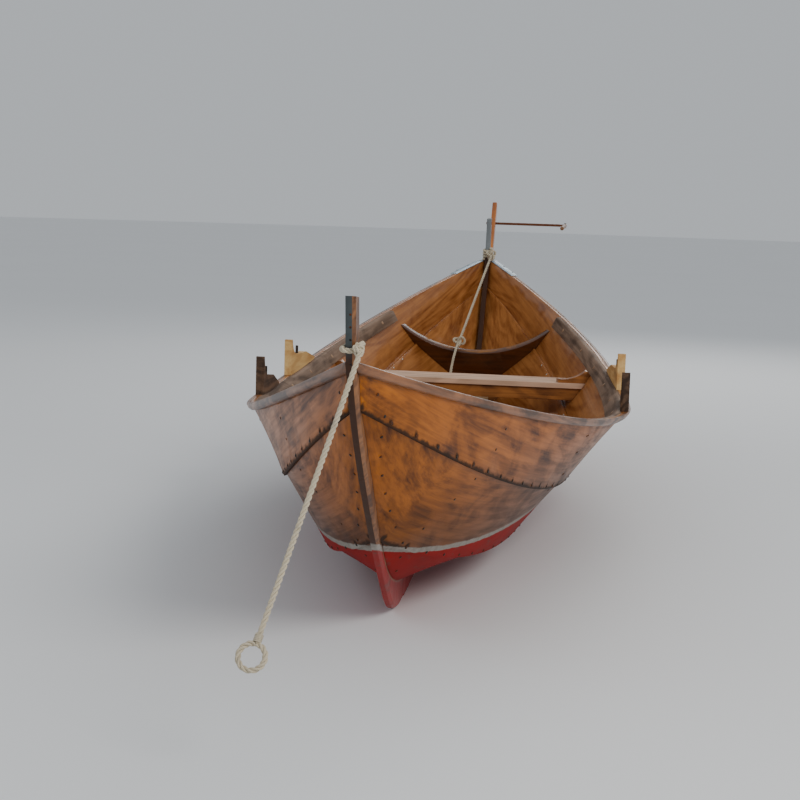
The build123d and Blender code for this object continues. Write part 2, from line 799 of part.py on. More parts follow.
with BuildPart() as tiller:
    with BuildSketch(Plane.XZ.offset(-pivot.Y - TILLER_FORK)):
        with Locations((pivot.X, pivot.Z)):
            Circle(TILLER_RADIUS)
    extrude(amount=TILLER_LENGTH + TILLER_FORK)
    fillet(tiller.edges().sort_by(Axis.Y)[0], radius=TILLER_RADIUS * 0.6)
    with Locations((pivot.X, pivot.Y + TILLER_FORK, pivot.Z)):
        slot = (Align.CENTER, Align.MAX, Align.CENTER)
        gap = 2 * (ARM_FLAT + CLEARANCE)
        Box(TILLER_RADIUS * 3, TILLER_FORK * 2, gap, align=slot, mode=Mode.SUBTRACT)
    with Locations(pivot):
        Cylinder(PIVOT_RADIUS + PIN_FIT, TILLER_RADIUS * 4, mode=Mode.SUBTRACT)
finish("tiller", tiller.part)

with BuildPart() as tiller_pin:
    with Locations(pivot):
        Cylinder(PIVOT_RADIUS, 2 * TILLER_RADIUS + 2)
    for side in (1, -1):
        with Locations(pivot + Vector(0, 0, side * (TILLER_RADIUS + 2))):
            Cylinder(PIVOT_RADIUS * 1.7, 3)
finish("tiller_pin", tiller_pin.part)


# ---------------------------------------------------------------- stern plates and drain plug
def plate_section(y):
    inner, outer = strakes(y)[0]["sheer"][2], hull_point(SHEER, y)
    start = (inner.X + outer.X + OUTER_RAIL[0]) / 2 - PLATE_WIDTH / 2
    stop, low = start + PLATE_WIDTH, outer.Y + CLEARANCE
    return [(start, low), (stop, low), (stop, low + PLATE), (start, low + PLATE)]


with BuildPart() as stern_plate:
    middle = sum(PLATE_SPAN) / 2
    for y in (PLATE_SPAN[0], middle, PLATE_SPAN[1]):
        with BuildSketch(section_plane(y)):
            with BuildLine():
                Polyline(*plate_section(y), close=True)
            make_face()
    loft()
    split(bisect_by=Plane.YZ.offset(BACKBONE / 2 + CLEARANCE), keep=Keep.TOP)
finish_pair("stern_plate", stern_plate.part)

plug_x, plug_y = PLUG_AT
drilled = []
for length in pieces["garboard_strake_port"].solids():
    with BuildPart() as board:
        add(length)
        with Locations((plug_x, plug_y, 0)):
            Cylinder(PLUG_RADIUS, 400, mode=Mode.SUBTRACT)
    drilled.append(board.part)
finish("garboard_strake_port", joined(drilled))

bilge, keelside = strakes(plug_y)[0]["garboard"][4:]
plug_slope = (bilge - keelside).Y / (bilge - keelside).X
plug_seat = keelside.Y + (plug_x + PLUG_HEAD[0]) * plug_slope
with BuildPart() as drain_plug:
    with Locations((plug_x, plug_y, plug_seat + 2 * CLEARANCE)):
        low = (Align.CENTER, Align.CENTER, Align.MIN)
        high = (Align.CENTER, Align.CENTER, Align.MAX)
        Cylinder(PLUG_HEAD[0], PLUG_HEAD[1], align=low)
        Cylinder(PLUG_RADIUS - PLUG_FIT, PLUG_LENGTH, align=high)
    chamfer(drain_plug.edges().group_by(Axis.Z)[-1], length=2)
finish("drain_plug", drain_plug.part)


# ---------------------------------------------------------------- fastenings
def outside_face(y, height):
    """The visible outer side of the planking: a point at a height, and the direction up the strake."""
    sections = strakes(y)[0]
    for kind in ("sheer", "middle", "garboard"):
        low, high = sections[kind][:2]
        if height >= low.Y:
            direction = (high - low).normalized()
            return at_height(low, direction, height), direction
    raise ValueError(f"below the planking at {y}")


def seated(point_at, inward_side, y):
    """A plane on the planking, facing away from it, from a point that is a function of the station."""
    before, here, after = (point_at(y + step) for step in (-4, 0, 4))
    run = Vector(after[0].X - before[0].X, 8, after[0].Y - before[0].Y)
    up = Vector(here[1].X, 0, here[1].Y)
    normal = run.cross(up).normalized()
    if (normal.X > 0) == inward_side:
        normal = -normal
    origin = Vector(here[0].X, y, here[0].Y) + normal * CLEARANCE
    return Plane(origin=origin, x_dir=run, z_dir=normal)


def lap_point(kind, y):
    """Middle of a lap on the outside: kind names the outer of the two strakes."""
    low, high = strakes(y)[0][kind][:2]
    direction = (high - low).normalized()
    return low + direction * (LAP * 0.45), direction


def rove_point(kind, y):
    """The same rivet's end inside the boat: kind names the inner of the two strakes."""
    section = strakes(y)[0][kind]
    direction = (section[2] - section[1]).normalized()
    return section[4] + direction * (LAP * 0.5), direction


def studs(planes, size):
    base, top, height = size
    with BuildPart() as group:
        with Locations(*[Location(plane) for plane in planes]):
            Cone(base, top, height, align=(Align.CENTER, Align.CENTER, Align.MIN))
        mirror(group.part, about=Plane.YZ)
    return group.part


lap_heads = []
lap_roves = []
for outer, inner, line in (("sheer", "middle", UPPER_LAP), ("middle", "garboard", LOWER_LAP)):
    count = int((line_reach(line, -1) + line_reach(line, 1) - 160) / RIVET_SPACING)
    for number in range(count):
        y = -line_reach(line, -1) + 95 + number * RIVET_SPACING
        lap_heads.append(seated(lambda at: lap_point(outer, at), False, y))
        near_frame = any(abs(y - station) < FRAME for station in FRAMES) or abs(y) > END_FRAME - 20
        if not near_frame:
            lap_roves.append(seated(lambda at: rove_point(inner, at), True, y))
finish("lap_rivet_heads", studs(lap_heads, RIVET))
finish("lap_rivet_roves", studs(lap_roves, RIVET))

stem_nails = []
for end in (-1, 1):
    height = 175
    while height < high_of(SHEER, end) - OUTER_RAIL[1] - 20:
        y = end * (reach(height, end) - NOSE - NAIL_INSET)
        stem_nails.append(seated(lambda at: outside_face(at, height), False, y))
        height += NAIL_SPACING
finish("stem_nails", studs(stem_nails, NAIL))


# ---------------------------------------------------------------- ropes
def rope(name, route):
    """A rope's tube: straight runs joined by bends as large as the runs allow."""
    points = [Vector(*point) for point in route]
    radii = []
    for before, here, after in zip(points, points[1:], points[2:]):
        turn = math.radians((here - before).get_angle(after - here))
        run = min((here - before).length, (after - here).length)
        radii.append(BEND_SHARE * run / math.tan(turn / 2))
    print(name, "bend radii", [round(radius) for radius in radii])
    with BuildPart() as tube:
        with BuildLine() as path:
            FilletPolyline(*points, radius=radii)
        with BuildSketch(Plane(origin=points[0], z_dir=points[1] - points[0])):
            Circle(ROPE / 2)
        sweep()
    print(name, "length", round(path.wires()[0].length))
    finish(name, tube.part)


def turns(post, height, count, knot):
    """Turns of rope round a post, with a knot on them."""
    levels = [Plane.XY.offset(height - ROPE * level) for level in (0, count)]
    slices = [section(post, section_by=level, mode=Mode.PRIVATE).bounding_box() for level in levels]
    front, back = min(box.min.Y for box in slices), max(box.max.Y for box in slices)
    inner = (BACKBONE + 2, back - front + 2)
    with BuildPart() as wrap:
        with BuildSketch(Plane.XY.offset(height)):
            with Locations((0, (front + back) / 2)):
                RectangleRounded(inner[0] + 2 * ROPE, inner[1] + 2 * ROPE, ROPE)
                Rectangle(*inner, mode=Mode.SUBTRACT)
        extrude(amount=-ROPE * count)
        with Locations(knot):
            Sphere(KNOT_RADIUS)
        with BuildSketch(Plane.XY.offset(height + KNOT_RADIUS * 2)):
            with Locations((0, (front + back) / 2)):
                Rectangle(*inner)
        extrude(amount=-ROPE * count - KNOT_RADIUS * 4, mode=Mode.SUBTRACT)
    return wrap.part


rope("painter", PAINTER_ROUTE)
rope("stern_line", STERN_ROUTE)

finish("painter_hitch", turns(pieces["bow_stem"], HITCH_HEIGHT + ROPE / 2, HITCH_TURNS, PAINTER_ROUTE[0]))
finish("stern_lashing", turns(pieces["stern_stem"], LASHING_HEIGHT + ROPE, LASHING_TURNS, STERN_ROUTE[0]))

painter_end, before_end = Vector(*PAINTER_ROUTE[-1]), Vector(*PAINTER_ROUTE[-2])
pull = (painter_end - before_end).normalized()
with BuildPart() as painter_eye:
    with Locations(Plane(origin=painter_end + pull * EYE_LOOP, x_dir=pull, z_dir=(0, -pull.Z, pull.Y))):
        Torus(EYE_LOOP, ROPE / 2)
finish("painter_eye", painter_eye.part)

with BuildPart() as stern_knot:
    with Locations(STERN_KNOT):
        Sphere(STERN_KNOT_RADIUS)
finish("stern_line_knot", stern_knot.part)

slope_angle = math.degrees(math.atan(stern_slope))
board_top = board_base + stern_slope * (COIL_AT - stern_start) + BOARD / math.cos(math.atan(stern_slope))
coil_place = Location((0, COIL_AT, board_top + CLEARANCE), (slope_angle, 0, 0))
with BuildPart() as stern_coil:
    with Locations(coil_place):
        low = (Align.CENTER, Align.CENTER, Align.MIN)
        Cylinder(COIL_RADIUS + COIL_SECTION / 2, COIL_SECTION, align=low)
        Cylinder(COIL_RADIUS - COIL_SECTION / 2, COIL_SECTION * 3, mode=Mode.SUBTRACT)
finish("stern_line_coil", stern_coil.part)

with BuildPart() as stern_end:
    with Locations(coil_place * Location((COIL_RADIUS, 0, COIL_SECTION + KNOT_RADIUS - 2))):
        Sphere(KNOT_RADIUS)
finish("stern_line_end", stern_end.part)
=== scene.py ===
"""Finishes a clinker-built rowing boat: its timber, ironwork and ropes, on a plain studio stage."""

import math

import bmesh
import bpy
from mathutils import Matrix, Vector
from mathutils.bvhtree import BVHTree


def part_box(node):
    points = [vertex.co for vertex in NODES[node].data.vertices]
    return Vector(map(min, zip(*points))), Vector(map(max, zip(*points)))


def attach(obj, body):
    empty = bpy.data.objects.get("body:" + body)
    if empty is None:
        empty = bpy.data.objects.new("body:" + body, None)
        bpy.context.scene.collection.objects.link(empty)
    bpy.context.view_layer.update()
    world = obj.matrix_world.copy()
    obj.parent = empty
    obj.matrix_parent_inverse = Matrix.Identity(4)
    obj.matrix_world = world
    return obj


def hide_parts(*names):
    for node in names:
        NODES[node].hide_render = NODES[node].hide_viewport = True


bl_info = {
    "name": "Clinker Rowing Boat",
    "version": (1, 0, 0),
    "blender": (4, 5, 0),
    "location": "3D View > Sidebar > Boat",
    "description": "Finishes a clinker-built rowing boat and its ropes, and sets its stage",
    "category": "Object",
}

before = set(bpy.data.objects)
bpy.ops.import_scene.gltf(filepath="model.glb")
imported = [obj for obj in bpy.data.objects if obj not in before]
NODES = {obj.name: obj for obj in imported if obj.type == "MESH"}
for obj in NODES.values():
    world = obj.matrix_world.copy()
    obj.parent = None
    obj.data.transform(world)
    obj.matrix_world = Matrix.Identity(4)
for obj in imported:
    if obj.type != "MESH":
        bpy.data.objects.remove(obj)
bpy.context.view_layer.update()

# Hull lines, in metres: half-breadth, fullness at bow and stern, height amidships, height at bow and
# stern, sweep and reach. The gunwale is the planking's top edge; each other line is the lower edge
# of the strakes that are named for it.
PLANK_LINES = {
    "sheer": (0.503, 1.96, 2.38, 0.237, 0.727, 0.753, 2.19, 2.37),
    "middle": (0.351, 2.36, 2.36, 0.103, 0.303, 0.303, 3.94, 1.91),
    "garboard": (0.060, 4.0, 4.0, 0.045, 0.303, 0.303, 7.0, 1.91),
    "gunwale": (0.709, 1.58, 2.14, 0.467, 0.859, 0.935, 1.68, 2.45),
}
FIRST_RIVET = {"sheer": -2.273, "middle": -1.817, "garboard": 9.0}
RIVET_SPACING = 0.115
STRAKES = ("sheer", "middle", "garboard")
FRAME_STATIONS = (-0.8, 0.0, 0.92)
END_FRAME_STATIONS = (-1.62, 1.62)
END_FRAME_LEAN = 0.577  # how far an end frame leans out for each metre that it drops
CLEAR_OF_HULL = 1.2  # from the centreline to a place well outside the planking
TREENAIL_DROP = 0.022  # from the gunwale down to the treenails

PAINTER_ROUTE = [
    (0.027, -2.512, 0.900),
    (-0.012, -2.604, 0.744),
    (-0.052, -2.696, 0.590),
    (-0.091, -2.789, 0.439),
    (-0.130, -2.880, 0.290),
]
STERN_ROUTE = [
    (0.026, 2.372, 0.960),
    (-0.022, 2.100, 0.778),
    (-0.064, 1.850, 0.612),
    (-0.085, 1.740, 0.535),
    (-0.095, 1.672, 0.500),
    (-0.105, 1.618, 0.440),
    (-0.111, 1.580, 0.368),
    (-0.108, 1.532, 0.304),
    (-0.097, 1.466, 0.274),
    (-0.084, 1.396, 0.262),
    (-0.077, 1.330, 0.251),
]
STERN_KNOT = (-0.085, 1.742, 0.539)
COIL_MIDDLE = (0.0, 1.300, 0.2329)
COIL_SLOPE = 0.1817
HITCH_HEIGHT = 0.902
LASHING_HEIGHT = 0.982


# ---------------------------------------------------------------- settings
def colour_setting(name, description, default):
    return bpy.props.FloatVectorProperty(
        name=name, description=description, default=default, subtype="COLOR", size=3, min=0, max=1
    )


class BoatTimber(bpy.types.PropertyGroup):
    """Colours and sizes of the timber finishes"""

    outside_pale: colour_setting("Outside pale", "Palest varnished wood outside", (0.46, 0.130, 0.004))
    outside_deep: colour_setting("Outside deep", "Deepest varnished wood outside", (0.070, 0.016, 0.001))
    inside_pale: colour_setting("Inside pale", "Palest varnished wood inside", (0.50, 0.20, 0.055))
    inside_deep: colour_setting("Inside deep", "Deepest varnished wood inside", (0.19, 0.050, 0.008))
    pine: colour_setting("Bare pine", "Sun-bleached wood of the thwarts", (0.72, 0.46, 0.31))
    new_pine: colour_setting("New pine", "Fresh wood of the aft rowlock blocks", (0.76, 0.50, 0.20))
    bottom_paint: colour_setting("Bottom paint", "Paint below the waterline", (0.36, 0.006, 0.004))
    paint_height: bpy.props.FloatProperty(
        name="Paint height",
        description="Height of the bottom paint's upper edge amidships",
        default=0.197,
        min=0.05,
        max=0.4,
        unit="LENGTH",
    )
    edge_radius: bpy.props.FloatProperty(
        name="Edge radius",
        description="How far the sawn edges of the timber are eased",
        default=0.002,
        min=0.0005,
        max=0.006,
        unit="LENGTH",
    )


class BoatRopes(bpy.types.PropertyGroup):
    """Sizes and colour of the ropes"""

    fibre: colour_setting("Fibre", "Colour of the natural fibre", (0.70, 0.60, 0.43))
    diameter: bpy.props.FloatProperty(
        name="Diameter",
        description="Diameter of both ropes",
        default=0.014,
        min=0.008,
        max=0.02,
        unit="LENGTH",
    )
    lay: bpy.props.FloatProperty(
        name="Lay",
        description="Length of one full turn of a strand",
        default=0.046,
        min=0.02,
        max=0.1,
        unit="LENGTH",
    )


class BoatStage(bpy.types.PropertyGroup):
    """Camera, floor and lights"""

    azimuth: bpy.props.FloatProperty(
        name="Azimuth", description="Camera's angle round the boat", default=0.1166, subtype="ANGLE"
    )
    elevation: bpy.props.FloatProperty(
        name="Elevation", description="Camera's angle above level", default=0.1299, subtype="ANGLE"
    )
    roll: bpy.props.FloatProperty(
        name="Roll", description="Camera's turn about its own line of sight", default=0.0318, subtype="ANGLE"
    )
    distance: bpy.props.FloatProperty(
        name="Distance", description="From the camera to its target", default=3.6507, unit="LENGTH"
    )
    lens: bpy.props.FloatProperty(
        name="Lens", description="Focal length of the camera", default=69.3, unit="CAMERA"
    )
    floor: colour_setting("Floor", "Colour of the floor", (0.84, 0.85, 0.86))
    key_power: bpy.props.FloatProperty(
        name="Key light", description="Power of the main light", default=250, min=0, unit="POWER"
    )
    fill_power: bpy.props.FloatProperty(
        name="Fill light", description="Power of the light on the dark side", default=30, min=0, unit="POWER"
    )


# ---------------------------------------------------------------- shader wiring
class Wiring:
    """Adds nodes to a tree. Each call gives the new node's output, ready to be wired on."""

    def __init__(self, tree):
        self.tree = tree

    def node(self, kind, inputs=None, **settings):
        node = self.tree.nodes.new(kind)
        for name, value in settings.items():
            setattr(node, name, value)
        for key, value in (inputs or {}).items():
            if isinstance(value, bpy.types.NodeSocket):
                self.tree.links.new(value, node.inputs[key])
            else:
                node.inputs[key].default_value = value
        return node

    def math(self, operation, *values, clamp=False):
        inputs = dict(enumerate(values))
        return self.node("ShaderNodeMath", inputs, operation=operation, use_clamp=clamp).outputs[0]

    def vector(self, operation, *values):
        return self.node("ShaderNodeVectorMath", dict(enumerate(values)), operation=operation).outputs[0]

    def split(self, vector):
        return self.node("ShaderNodeSeparateXYZ", {0: vector}).outputs

    def join(self, x, y, z):
        return self.node("ShaderNodeCombineXYZ", {0: x, 1: y, 2: z}).outputs[0]

    def ramp(self, value, low, high):
        """0 below low, 1 above high and smooth between; falling if low is the larger."""
        inputs = {"Value": value, "From Min": low, "From Max": high}
        return self.node("ShaderNodeMapRange", inputs, interpolation_type="SMOOTHSTEP").outputs[0]

    def noise(self, vector, scale, detail=3.0, roughness=0.5, distortion=0.0):
        inputs = {"Vector": vector, "Scale": scale, "Detail": detail, "Roughness": roughness}
        inputs["Distortion"] = distortion
        return self.node("ShaderNodeTexNoise", inputs).outputs[0]

    def blend(self, factor, first, second, blend_type="MIX"):
        """Mix of two colours."""
        inputs = {0: factor, 6: first, 7: second}
        return self.node("ShaderNodeMix", inputs, data_type="RGBA", blend_type=blend_type).outputs[2]

    def between(self, factor, first, second):
        """Mix of two numbers."""
        return self.node("ShaderNodeMix", {0: factor, 2: first, 3: second}, data_type="FLOAT").outputs[0]

    def place(self):
        return self.node("ShaderNodeTexCoord").outputs["Object"]

    def facing(self):
        return self.node("ShaderNodeTexCoord").outputs["Normal"]

    def group(self, tree, **inputs):
        node = self.node("ShaderNodeGroup", node_tree=tree)
        for name, value in inputs.items():
            socket = node.inputs[name.replace("_", " ")]
            if isinstance(value, bpy.types.NodeSocket):
                self.tree.links.new(value, socket)
            else:
                socket.default_value = value
        return node.outputs


KINDS = {"colour": "NodeSocketColor", "number": "NodeSocketFloat", "vector": "NodeSocketVector"}


def new_group(name, inputs, outputs):
    """An empty shader group with named sockets, and its wiring, inputs and outputs."""
    tree = bpy.data.node_groups.new(name, "ShaderNodeTree")
    for label, kind, default in inputs:
        socket = tree.interface.new_socket(label, in_out="INPUT", socket_type=KINDS[kind])
        if default is not None:
            socket.default_value = default
    for label, kind in outputs:
        tree.interface.new_socket(label, in_out="OUTPUT", socket_type=KINDS[kind])
    wiring = Wiring(tree)
    given = wiring.node("NodeGroupInput").outputs
    result = wiring.node("NodeGroupOutput").inputs
    return tree, wiring, given, result


def shared(build):
    """The group that a function builds, built once."""
    name = build.__name__.replace("_", " ").title()
    return bpy.data.node_groups.get(name) or build(name)


def opaque(colour):
    return (*colour[:3], 1.0)


def timber_figure(name):
    """Grain, growth rings, mottle and knots of a plank whose grain runs along Y."""
    inputs = [
        ("Vector", "vector", None),
        ("Seed", "number", 0.0),
        ("Pale", "colour", (0.5, 0.3, 0.1, 1)),
        ("Deep", "colour", (0.2, 0.1, 0.05, 1)),
        ("Fineness", "number", 70.0),
        ("Rings", "number", 0.3),
        ("Mottle", "number", 0.4),
        ("Knots", "number", 0.5),
    ]
    outputs = [("Color", "colour"), ("Relief", "number"), ("Figure", "number")]
    tree, w, given, result = new_group(name, inputs, outputs)
    shift = w.join(*(w.math("MULTIPLY", given["Seed"], by) for by in (1.7, 0.9, 2.3)))
    moved = w.vector("ADD", given["Vector"], shift)
    along = w.vector("MULTIPLY", moved, (1.0, 0.035, 1.0))
    streaks = w.noise(along, given["Fineness"], 5.0, 0.65, 0.15)
    field = w.noise(w.vector("MULTIPLY", moved, (1.0, 0.16, 1.0)), 4.5, 2.0, 0.5, 0.3)
    rings = w.math("SINE", w.math("MULTIPLY", field, 75.0))
    rings = w.ramp(rings, -0.6, 1.0)
    patches = w.noise(w.vector("MULTIPLY", moved, (1.0, 0.45, 1.0)), 11.0, 4.0, 0.62, 0.6)
    patches = w.ramp(patches, 0.40, 0.66)
    cells = w.vector("MULTIPLY", moved, (1.0, 0.42, 1.0))
    knot = w.node("ShaderNodeTexVoronoi", {"Vector": cells, "Scale": 6.5})
    rare = w.ramp(w.split(knot.outputs["Color"])[0], 0.60, 0.64)
    knots = w.math("MULTIPLY", w.ramp(knot.outputs["Distance"], 0.16, 0.05), rare)
    knots = w.math("MULTIPLY", knots, given["Knots"])
    halo = w.math("MULTIPLY", w.ramp(knot.outputs["Distance"], 0.34, 0.10), rare)
    halo = w.math("MULTIPLY", halo, w.math("MULTIPLY", given["Knots"], 0.5))
    figure = w.math("MULTIPLY", w.ramp(streaks, 0.32, 0.70), 0.42)
    figure = w.math("MULTIPLY_ADD", rings, given["Rings"], figure)
    figure = w.math("MULTIPLY_ADD", patches, given["Mottle"], figure)
    figure = w.math("ADD", figure, halo, clamp=True)
    colour = w.blend(figure, given["Pale"], given["Deep"])
    dark = w.blend(1.0, given["Deep"], (0.32, 0.26, 0.22, 1), "MULTIPLY")
    colour = w.blend(knots, colour, dark)
    relief = w.math("MULTIPLY_ADD", rings, 0.35, w.math("MULTIPLY", streaks, 0.65))
    for label, value in (("Color", colour), ("Relief", relief), ("Figure", figure)):
        tree.links.new(value, result[label])
    return tree


def plank_space(name):
    """Straightens a curved plank: the vector runs across and along it, measured from its lower edge."""
    inputs = [
        ("Breadth", "number", 0.7),
        ("Bow Fullness", "number", 1.6),
        ("Stern Fullness", "number", 2.1),
        ("Low", "number", 0.4),
        ("Bow High", "number", 0.8),
        ("Stern High", "number", 0.9),
        ("Sweep", "number", 1.7),
        ("Reach", "number", 2.4),
    ]
    outputs = [("Vector", "vector"), ("Level", "number"), ("Outside", "number")]
    tree, w, given, result = new_group(name, inputs, outputs)
    x, y, z = w.split(w.place())
    normal_x, _, normal_z = w.split(w.facing())
    aft = w.math("GREATER_THAN", y, 0.0)
    share = w.math("DIVIDE", w.math("ABSOLUTE", y), given["Reach"])
    fullness = w.between(aft, given["Bow Fullness"], given["Stern Fullness"])
    taper = w.math("SUBTRACT", 1.0, w.math("POWER", w.math("MINIMUM", share, 1.0), fullness))
    breadth = w.math("MULTIPLY", given["Breadth"], taper)
    high = w.between(aft, given["Bow High"], given["Stern High"])
    rise = w.math("MULTIPLY", w.math("SUBTRACT", high, given["Low"]), w.math("POWER", share, given["Sweep"]))
    level = w.math("SUBTRACT", w.math("SUBTRACT", z, given["Low"]), rise)
    side = w.math("SIGN", x)
    across = w.math("SUBTRACT", w.math("ABSOLUTE", x), breadth)
    tree.links.new(w.join(w.math("MULTIPLY_ADD", side, 3.1, across), y, level), result["Vector"])
    tree.links.new(level, result["Level"])
    outward = w.math("SUBTRACT", w.math("MULTIPLY", side, normal_x), normal_z)
    tree.links.new(w.ramp(outward, -0.1, 0.1), result["Outside"])
    return tree


def lap_shade_and_stains(name):
    """Painted shade and dirt in a lap's seam, and dark iron stains round its rivets."""
    inputs = [
        ("Color", "colour", (0.5, 0.3, 0.1, 1)),
        ("Level", "number", 0.0),
        ("First", "number", 0.0),
        ("Amount", "number", 0.8),
    ]
    tree, w, given, result = new_group(name, inputs, [("Color", "colour"), ("Mask", "number")])
    place = w.place()
    y = w.split(place)[1]
    ragged = w.math("MULTIPLY", w.noise(place, 38.0, 4.0, 0.6), 0.022)
    # The seam's dark band along the plank's lower edge is painted shade under the lap, with dirt in it.
    seam = w.ramp(w.math("SUBTRACT", given["Level"], ragged), 0.004, -0.008)
    turn = w.math("DIVIDE", w.math("SUBTRACT", y, given["First"]), RIVET_SPACING)
    off = w.math("SUBTRACT", w.math("FRACT", w.math("ADD", turn, 0.5)), 0.5)
    off = w.math("MULTIPLY", off, RIVET_SPACING)
    low = w.math("SUBTRACT", given["Level"], 0.011)
    spread = w.math("SQRT", w.math("ADD", w.math("POWER", off, 2.0), w.math("POWER", low, 2.0)))
    stain = w.ramp(w.math("SUBTRACT", spread, ragged), 0.004, -0.006)
    mask = w.math("MULTIPLY", w.math("MAXIMUM", seam, stain), given["Amount"])
    tree.links.new(w.blend(mask, given["Color"], (0.018, 0.011, 0.007, 1)), result["Color"])
    tree.links.new(mask, result["Mask"])
    return tree


def waterline(name):
    """Bottom paint with a pale line above it, ragged and scuffed at its edge."""
    inputs = [
        ("Color", "colour", (0.5, 0.3, 0.1, 1)),
        ("Paint", "colour", (0.4, 0.02, 0.02, 1)),
        ("Height", "number", 0.2),
        ("Outside", "number", 1.0),
    ]
    tree, w, given, result = new_group(name, inputs, [("Color", "colour"), ("Mask", "number")])
    place = w.place()
    _, y, z = w.split(place)
    rise = w.math("MULTIPLY", w.math("POWER", w.math("DIVIDE", y, 2.2), 6.0), 0.200)
    above = w.math("SUBTRACT", w.math("SUBTRACT", z, given["Height"]), rise)
    above = w.math("MULTIPLY_ADD", w.math("SUBTRACT", w.noise(place, 26.0, 4.0, 0.6), 0.5), 0.010, above)
    painted = w.math("MULTIPLY", w.ramp(above, 0.001, -0.001), given["Outside"])
    line = w.math("MULTIPLY", w.ramp(above, 0.018, 0.014), given["Outside"])
    scuffs = w.ramp(w.noise(w.vector("MULTIPLY", place, (1.0, 0.2, 1.0)), 34.0, 5.0, 0.7), 0.56, 0.66)
    faded = w.blend(0.5, given["Paint"], (0.05, 0.01, 0.01, 1))
    red = w.blend(w.noise(place, 9.0, 3.0), faded, given["Paint"])
    red = w.blend(w.math("MULTIPLY", scuffs, 0.5), red, (0.10, 0.05, 0.04, 1))
    chalk = w.blend(w.noise(place, 60.0, 4.0, 0.7), (0.14, 0.12, 0.10, 1), (0.42, 0.39, 0.35, 1))
    colour = w.blend(line, given["Color"], chalk)
    tree.links.new(w.blend(painted, colour, red), result["Color"])
    tree.links.new(line, result["Mask"])
    return tree


def sun_wear_and_lit_top(name):
    """Another colour on faces that look up, and in patches: grey, dry wood where the weather gets at it; on
    the end frames, painted light on their tops.
    """
    inputs = [
        ("Vector", "vector", None),
        ("Color", "colour", (0.5, 0.3, 0.1, 1)),
        ("Worn", "colour", (0.5, 0.48, 0.44, 1)),
        ("Upward", "number", 0.6),
        ("Amount", "number", 0.5),
    ]
    tree, w, given, result = new_group(name, inputs, [("Color", "colour"), ("Mask", "number")])
    upward = w.math("MULTIPLY", w.ramp(w.split(w.facing())[2], 0.2, 0.9), given["Upward"])
    long = w.vector("MULTIPLY", given["Vector"], (1.0, 0.10, 1.0))
    ragged = w.noise(long, 46.0, 5.0, 0.7)
    reachable = w.math("ADD", w.math("ADD", upward, given["Amount"]), w.math("SUBTRACT", ragged, 0.5))
    mask = w.ramp(reachable, 0.45, 0.85)
    tree.links.new(w.blend(mask, given["Color"], given["Worn"]), result["Color"])
    tree.links.new(mask, result["Mask"])
    return tree


def forged_skin(name):
    """Dark iron with rust in patches and a hammered surface."""
    inputs = [("Iron", "colour", (0.03, 0.03, 0.03, 1)), ("Rust", "number", 0.4)]
    outputs = [("Color", "colour"), ("Roughness", "number"), ("Relief", "number")]
    tree, w, given, result = new_group(name, inputs, outputs)
    place = w.place()
    blotch = w.noise(place, 70.0, 5.0, 0.65)
    limit = w.math("SUBTRACT", 0.75, w.math("MULTIPLY", given["Rust"], 0.4))
    mask = w.ramp(w.math("SUBTRACT", blotch, limit), -0.06, 0.10)
    rust = w.blend(w.noise(place, 300.0, 2.0), (0.10, 0.028, 0.010, 1), (0.22, 0.07, 0.02, 1))
    tree.links.new(w.blend(mask, given["Iron"], rust), result["Color"])
    tree.links.new(w.between(mask, 0.42, 0.85), result["Roughness"])
    dents = w.noise(place, 160.0, 2.0, 0.5)
    tree.links.new(w.math("MULTIPLY_ADD", mask, 0.3, dents), result["Relief"])
    return tree


# ---------------------------------------------------------------- materials
def new_material(name):
    material = bpy.data.materials.new(name)
    material.use_nodes = True
    material.node_tree.nodes.clear()
    w = Wiring(material.node_tree)
    shader = w.node("ShaderNodeBsdfPrincipled")
    output = w.node("ShaderNodeOutputMaterial")
    material.node_tree.links.new(shader.outputs[0], output.inputs["Surface"])
    return material, w, shader.inputs


def put(w, sockets, values):
    """Wires outputs into a shader's sockets, or sets numbers on them."""
    for name, value in values.items():
        if isinstance(value, bpy.types.NodeSocket):
            w.tree.links.new(value, sockets[name])
        else:
            sockets[name].default_value = value


def bump(w, height, strength, distance):
    inputs = {"Height": height, "Strength": strength, "Distance": distance}
    return w.node("ShaderNodeBump", inputs).outputs[0]


def grain_along(w, axis, tilt=0.0):
    """Coordinates whose Y runs along the grain. tilt turns the grain about X, from Z towards Y."""
    x, y, z = w.split(w.place())
    if axis == "X":
        return w.join(y, x, z)
    if axis == "Z":
        upright, leaning = math.cos(tilt), math.sin(tilt)
        run = w.math("MULTIPLY_ADD", z, upright, w.math("MULTIPLY", y, leaning))
        rest = w.math("MULTIPLY_ADD", z, -leaning, w.math("MULTIPLY", y, upright))
        return w.join(x, run, rest)
    return w.join(x, y, z)


def along_line(w, line):
    labels = ("Breadth", "Bow_Fullness", "Stern_Fullness", "Low", "Bow_High", "Stern_High", "Sweep", "Reach")
    return w.group(shared(plank_space), **dict(zip(labels, PLANK_LINES[line])))


def settings():
    return bpy.context.scene.boat_timber


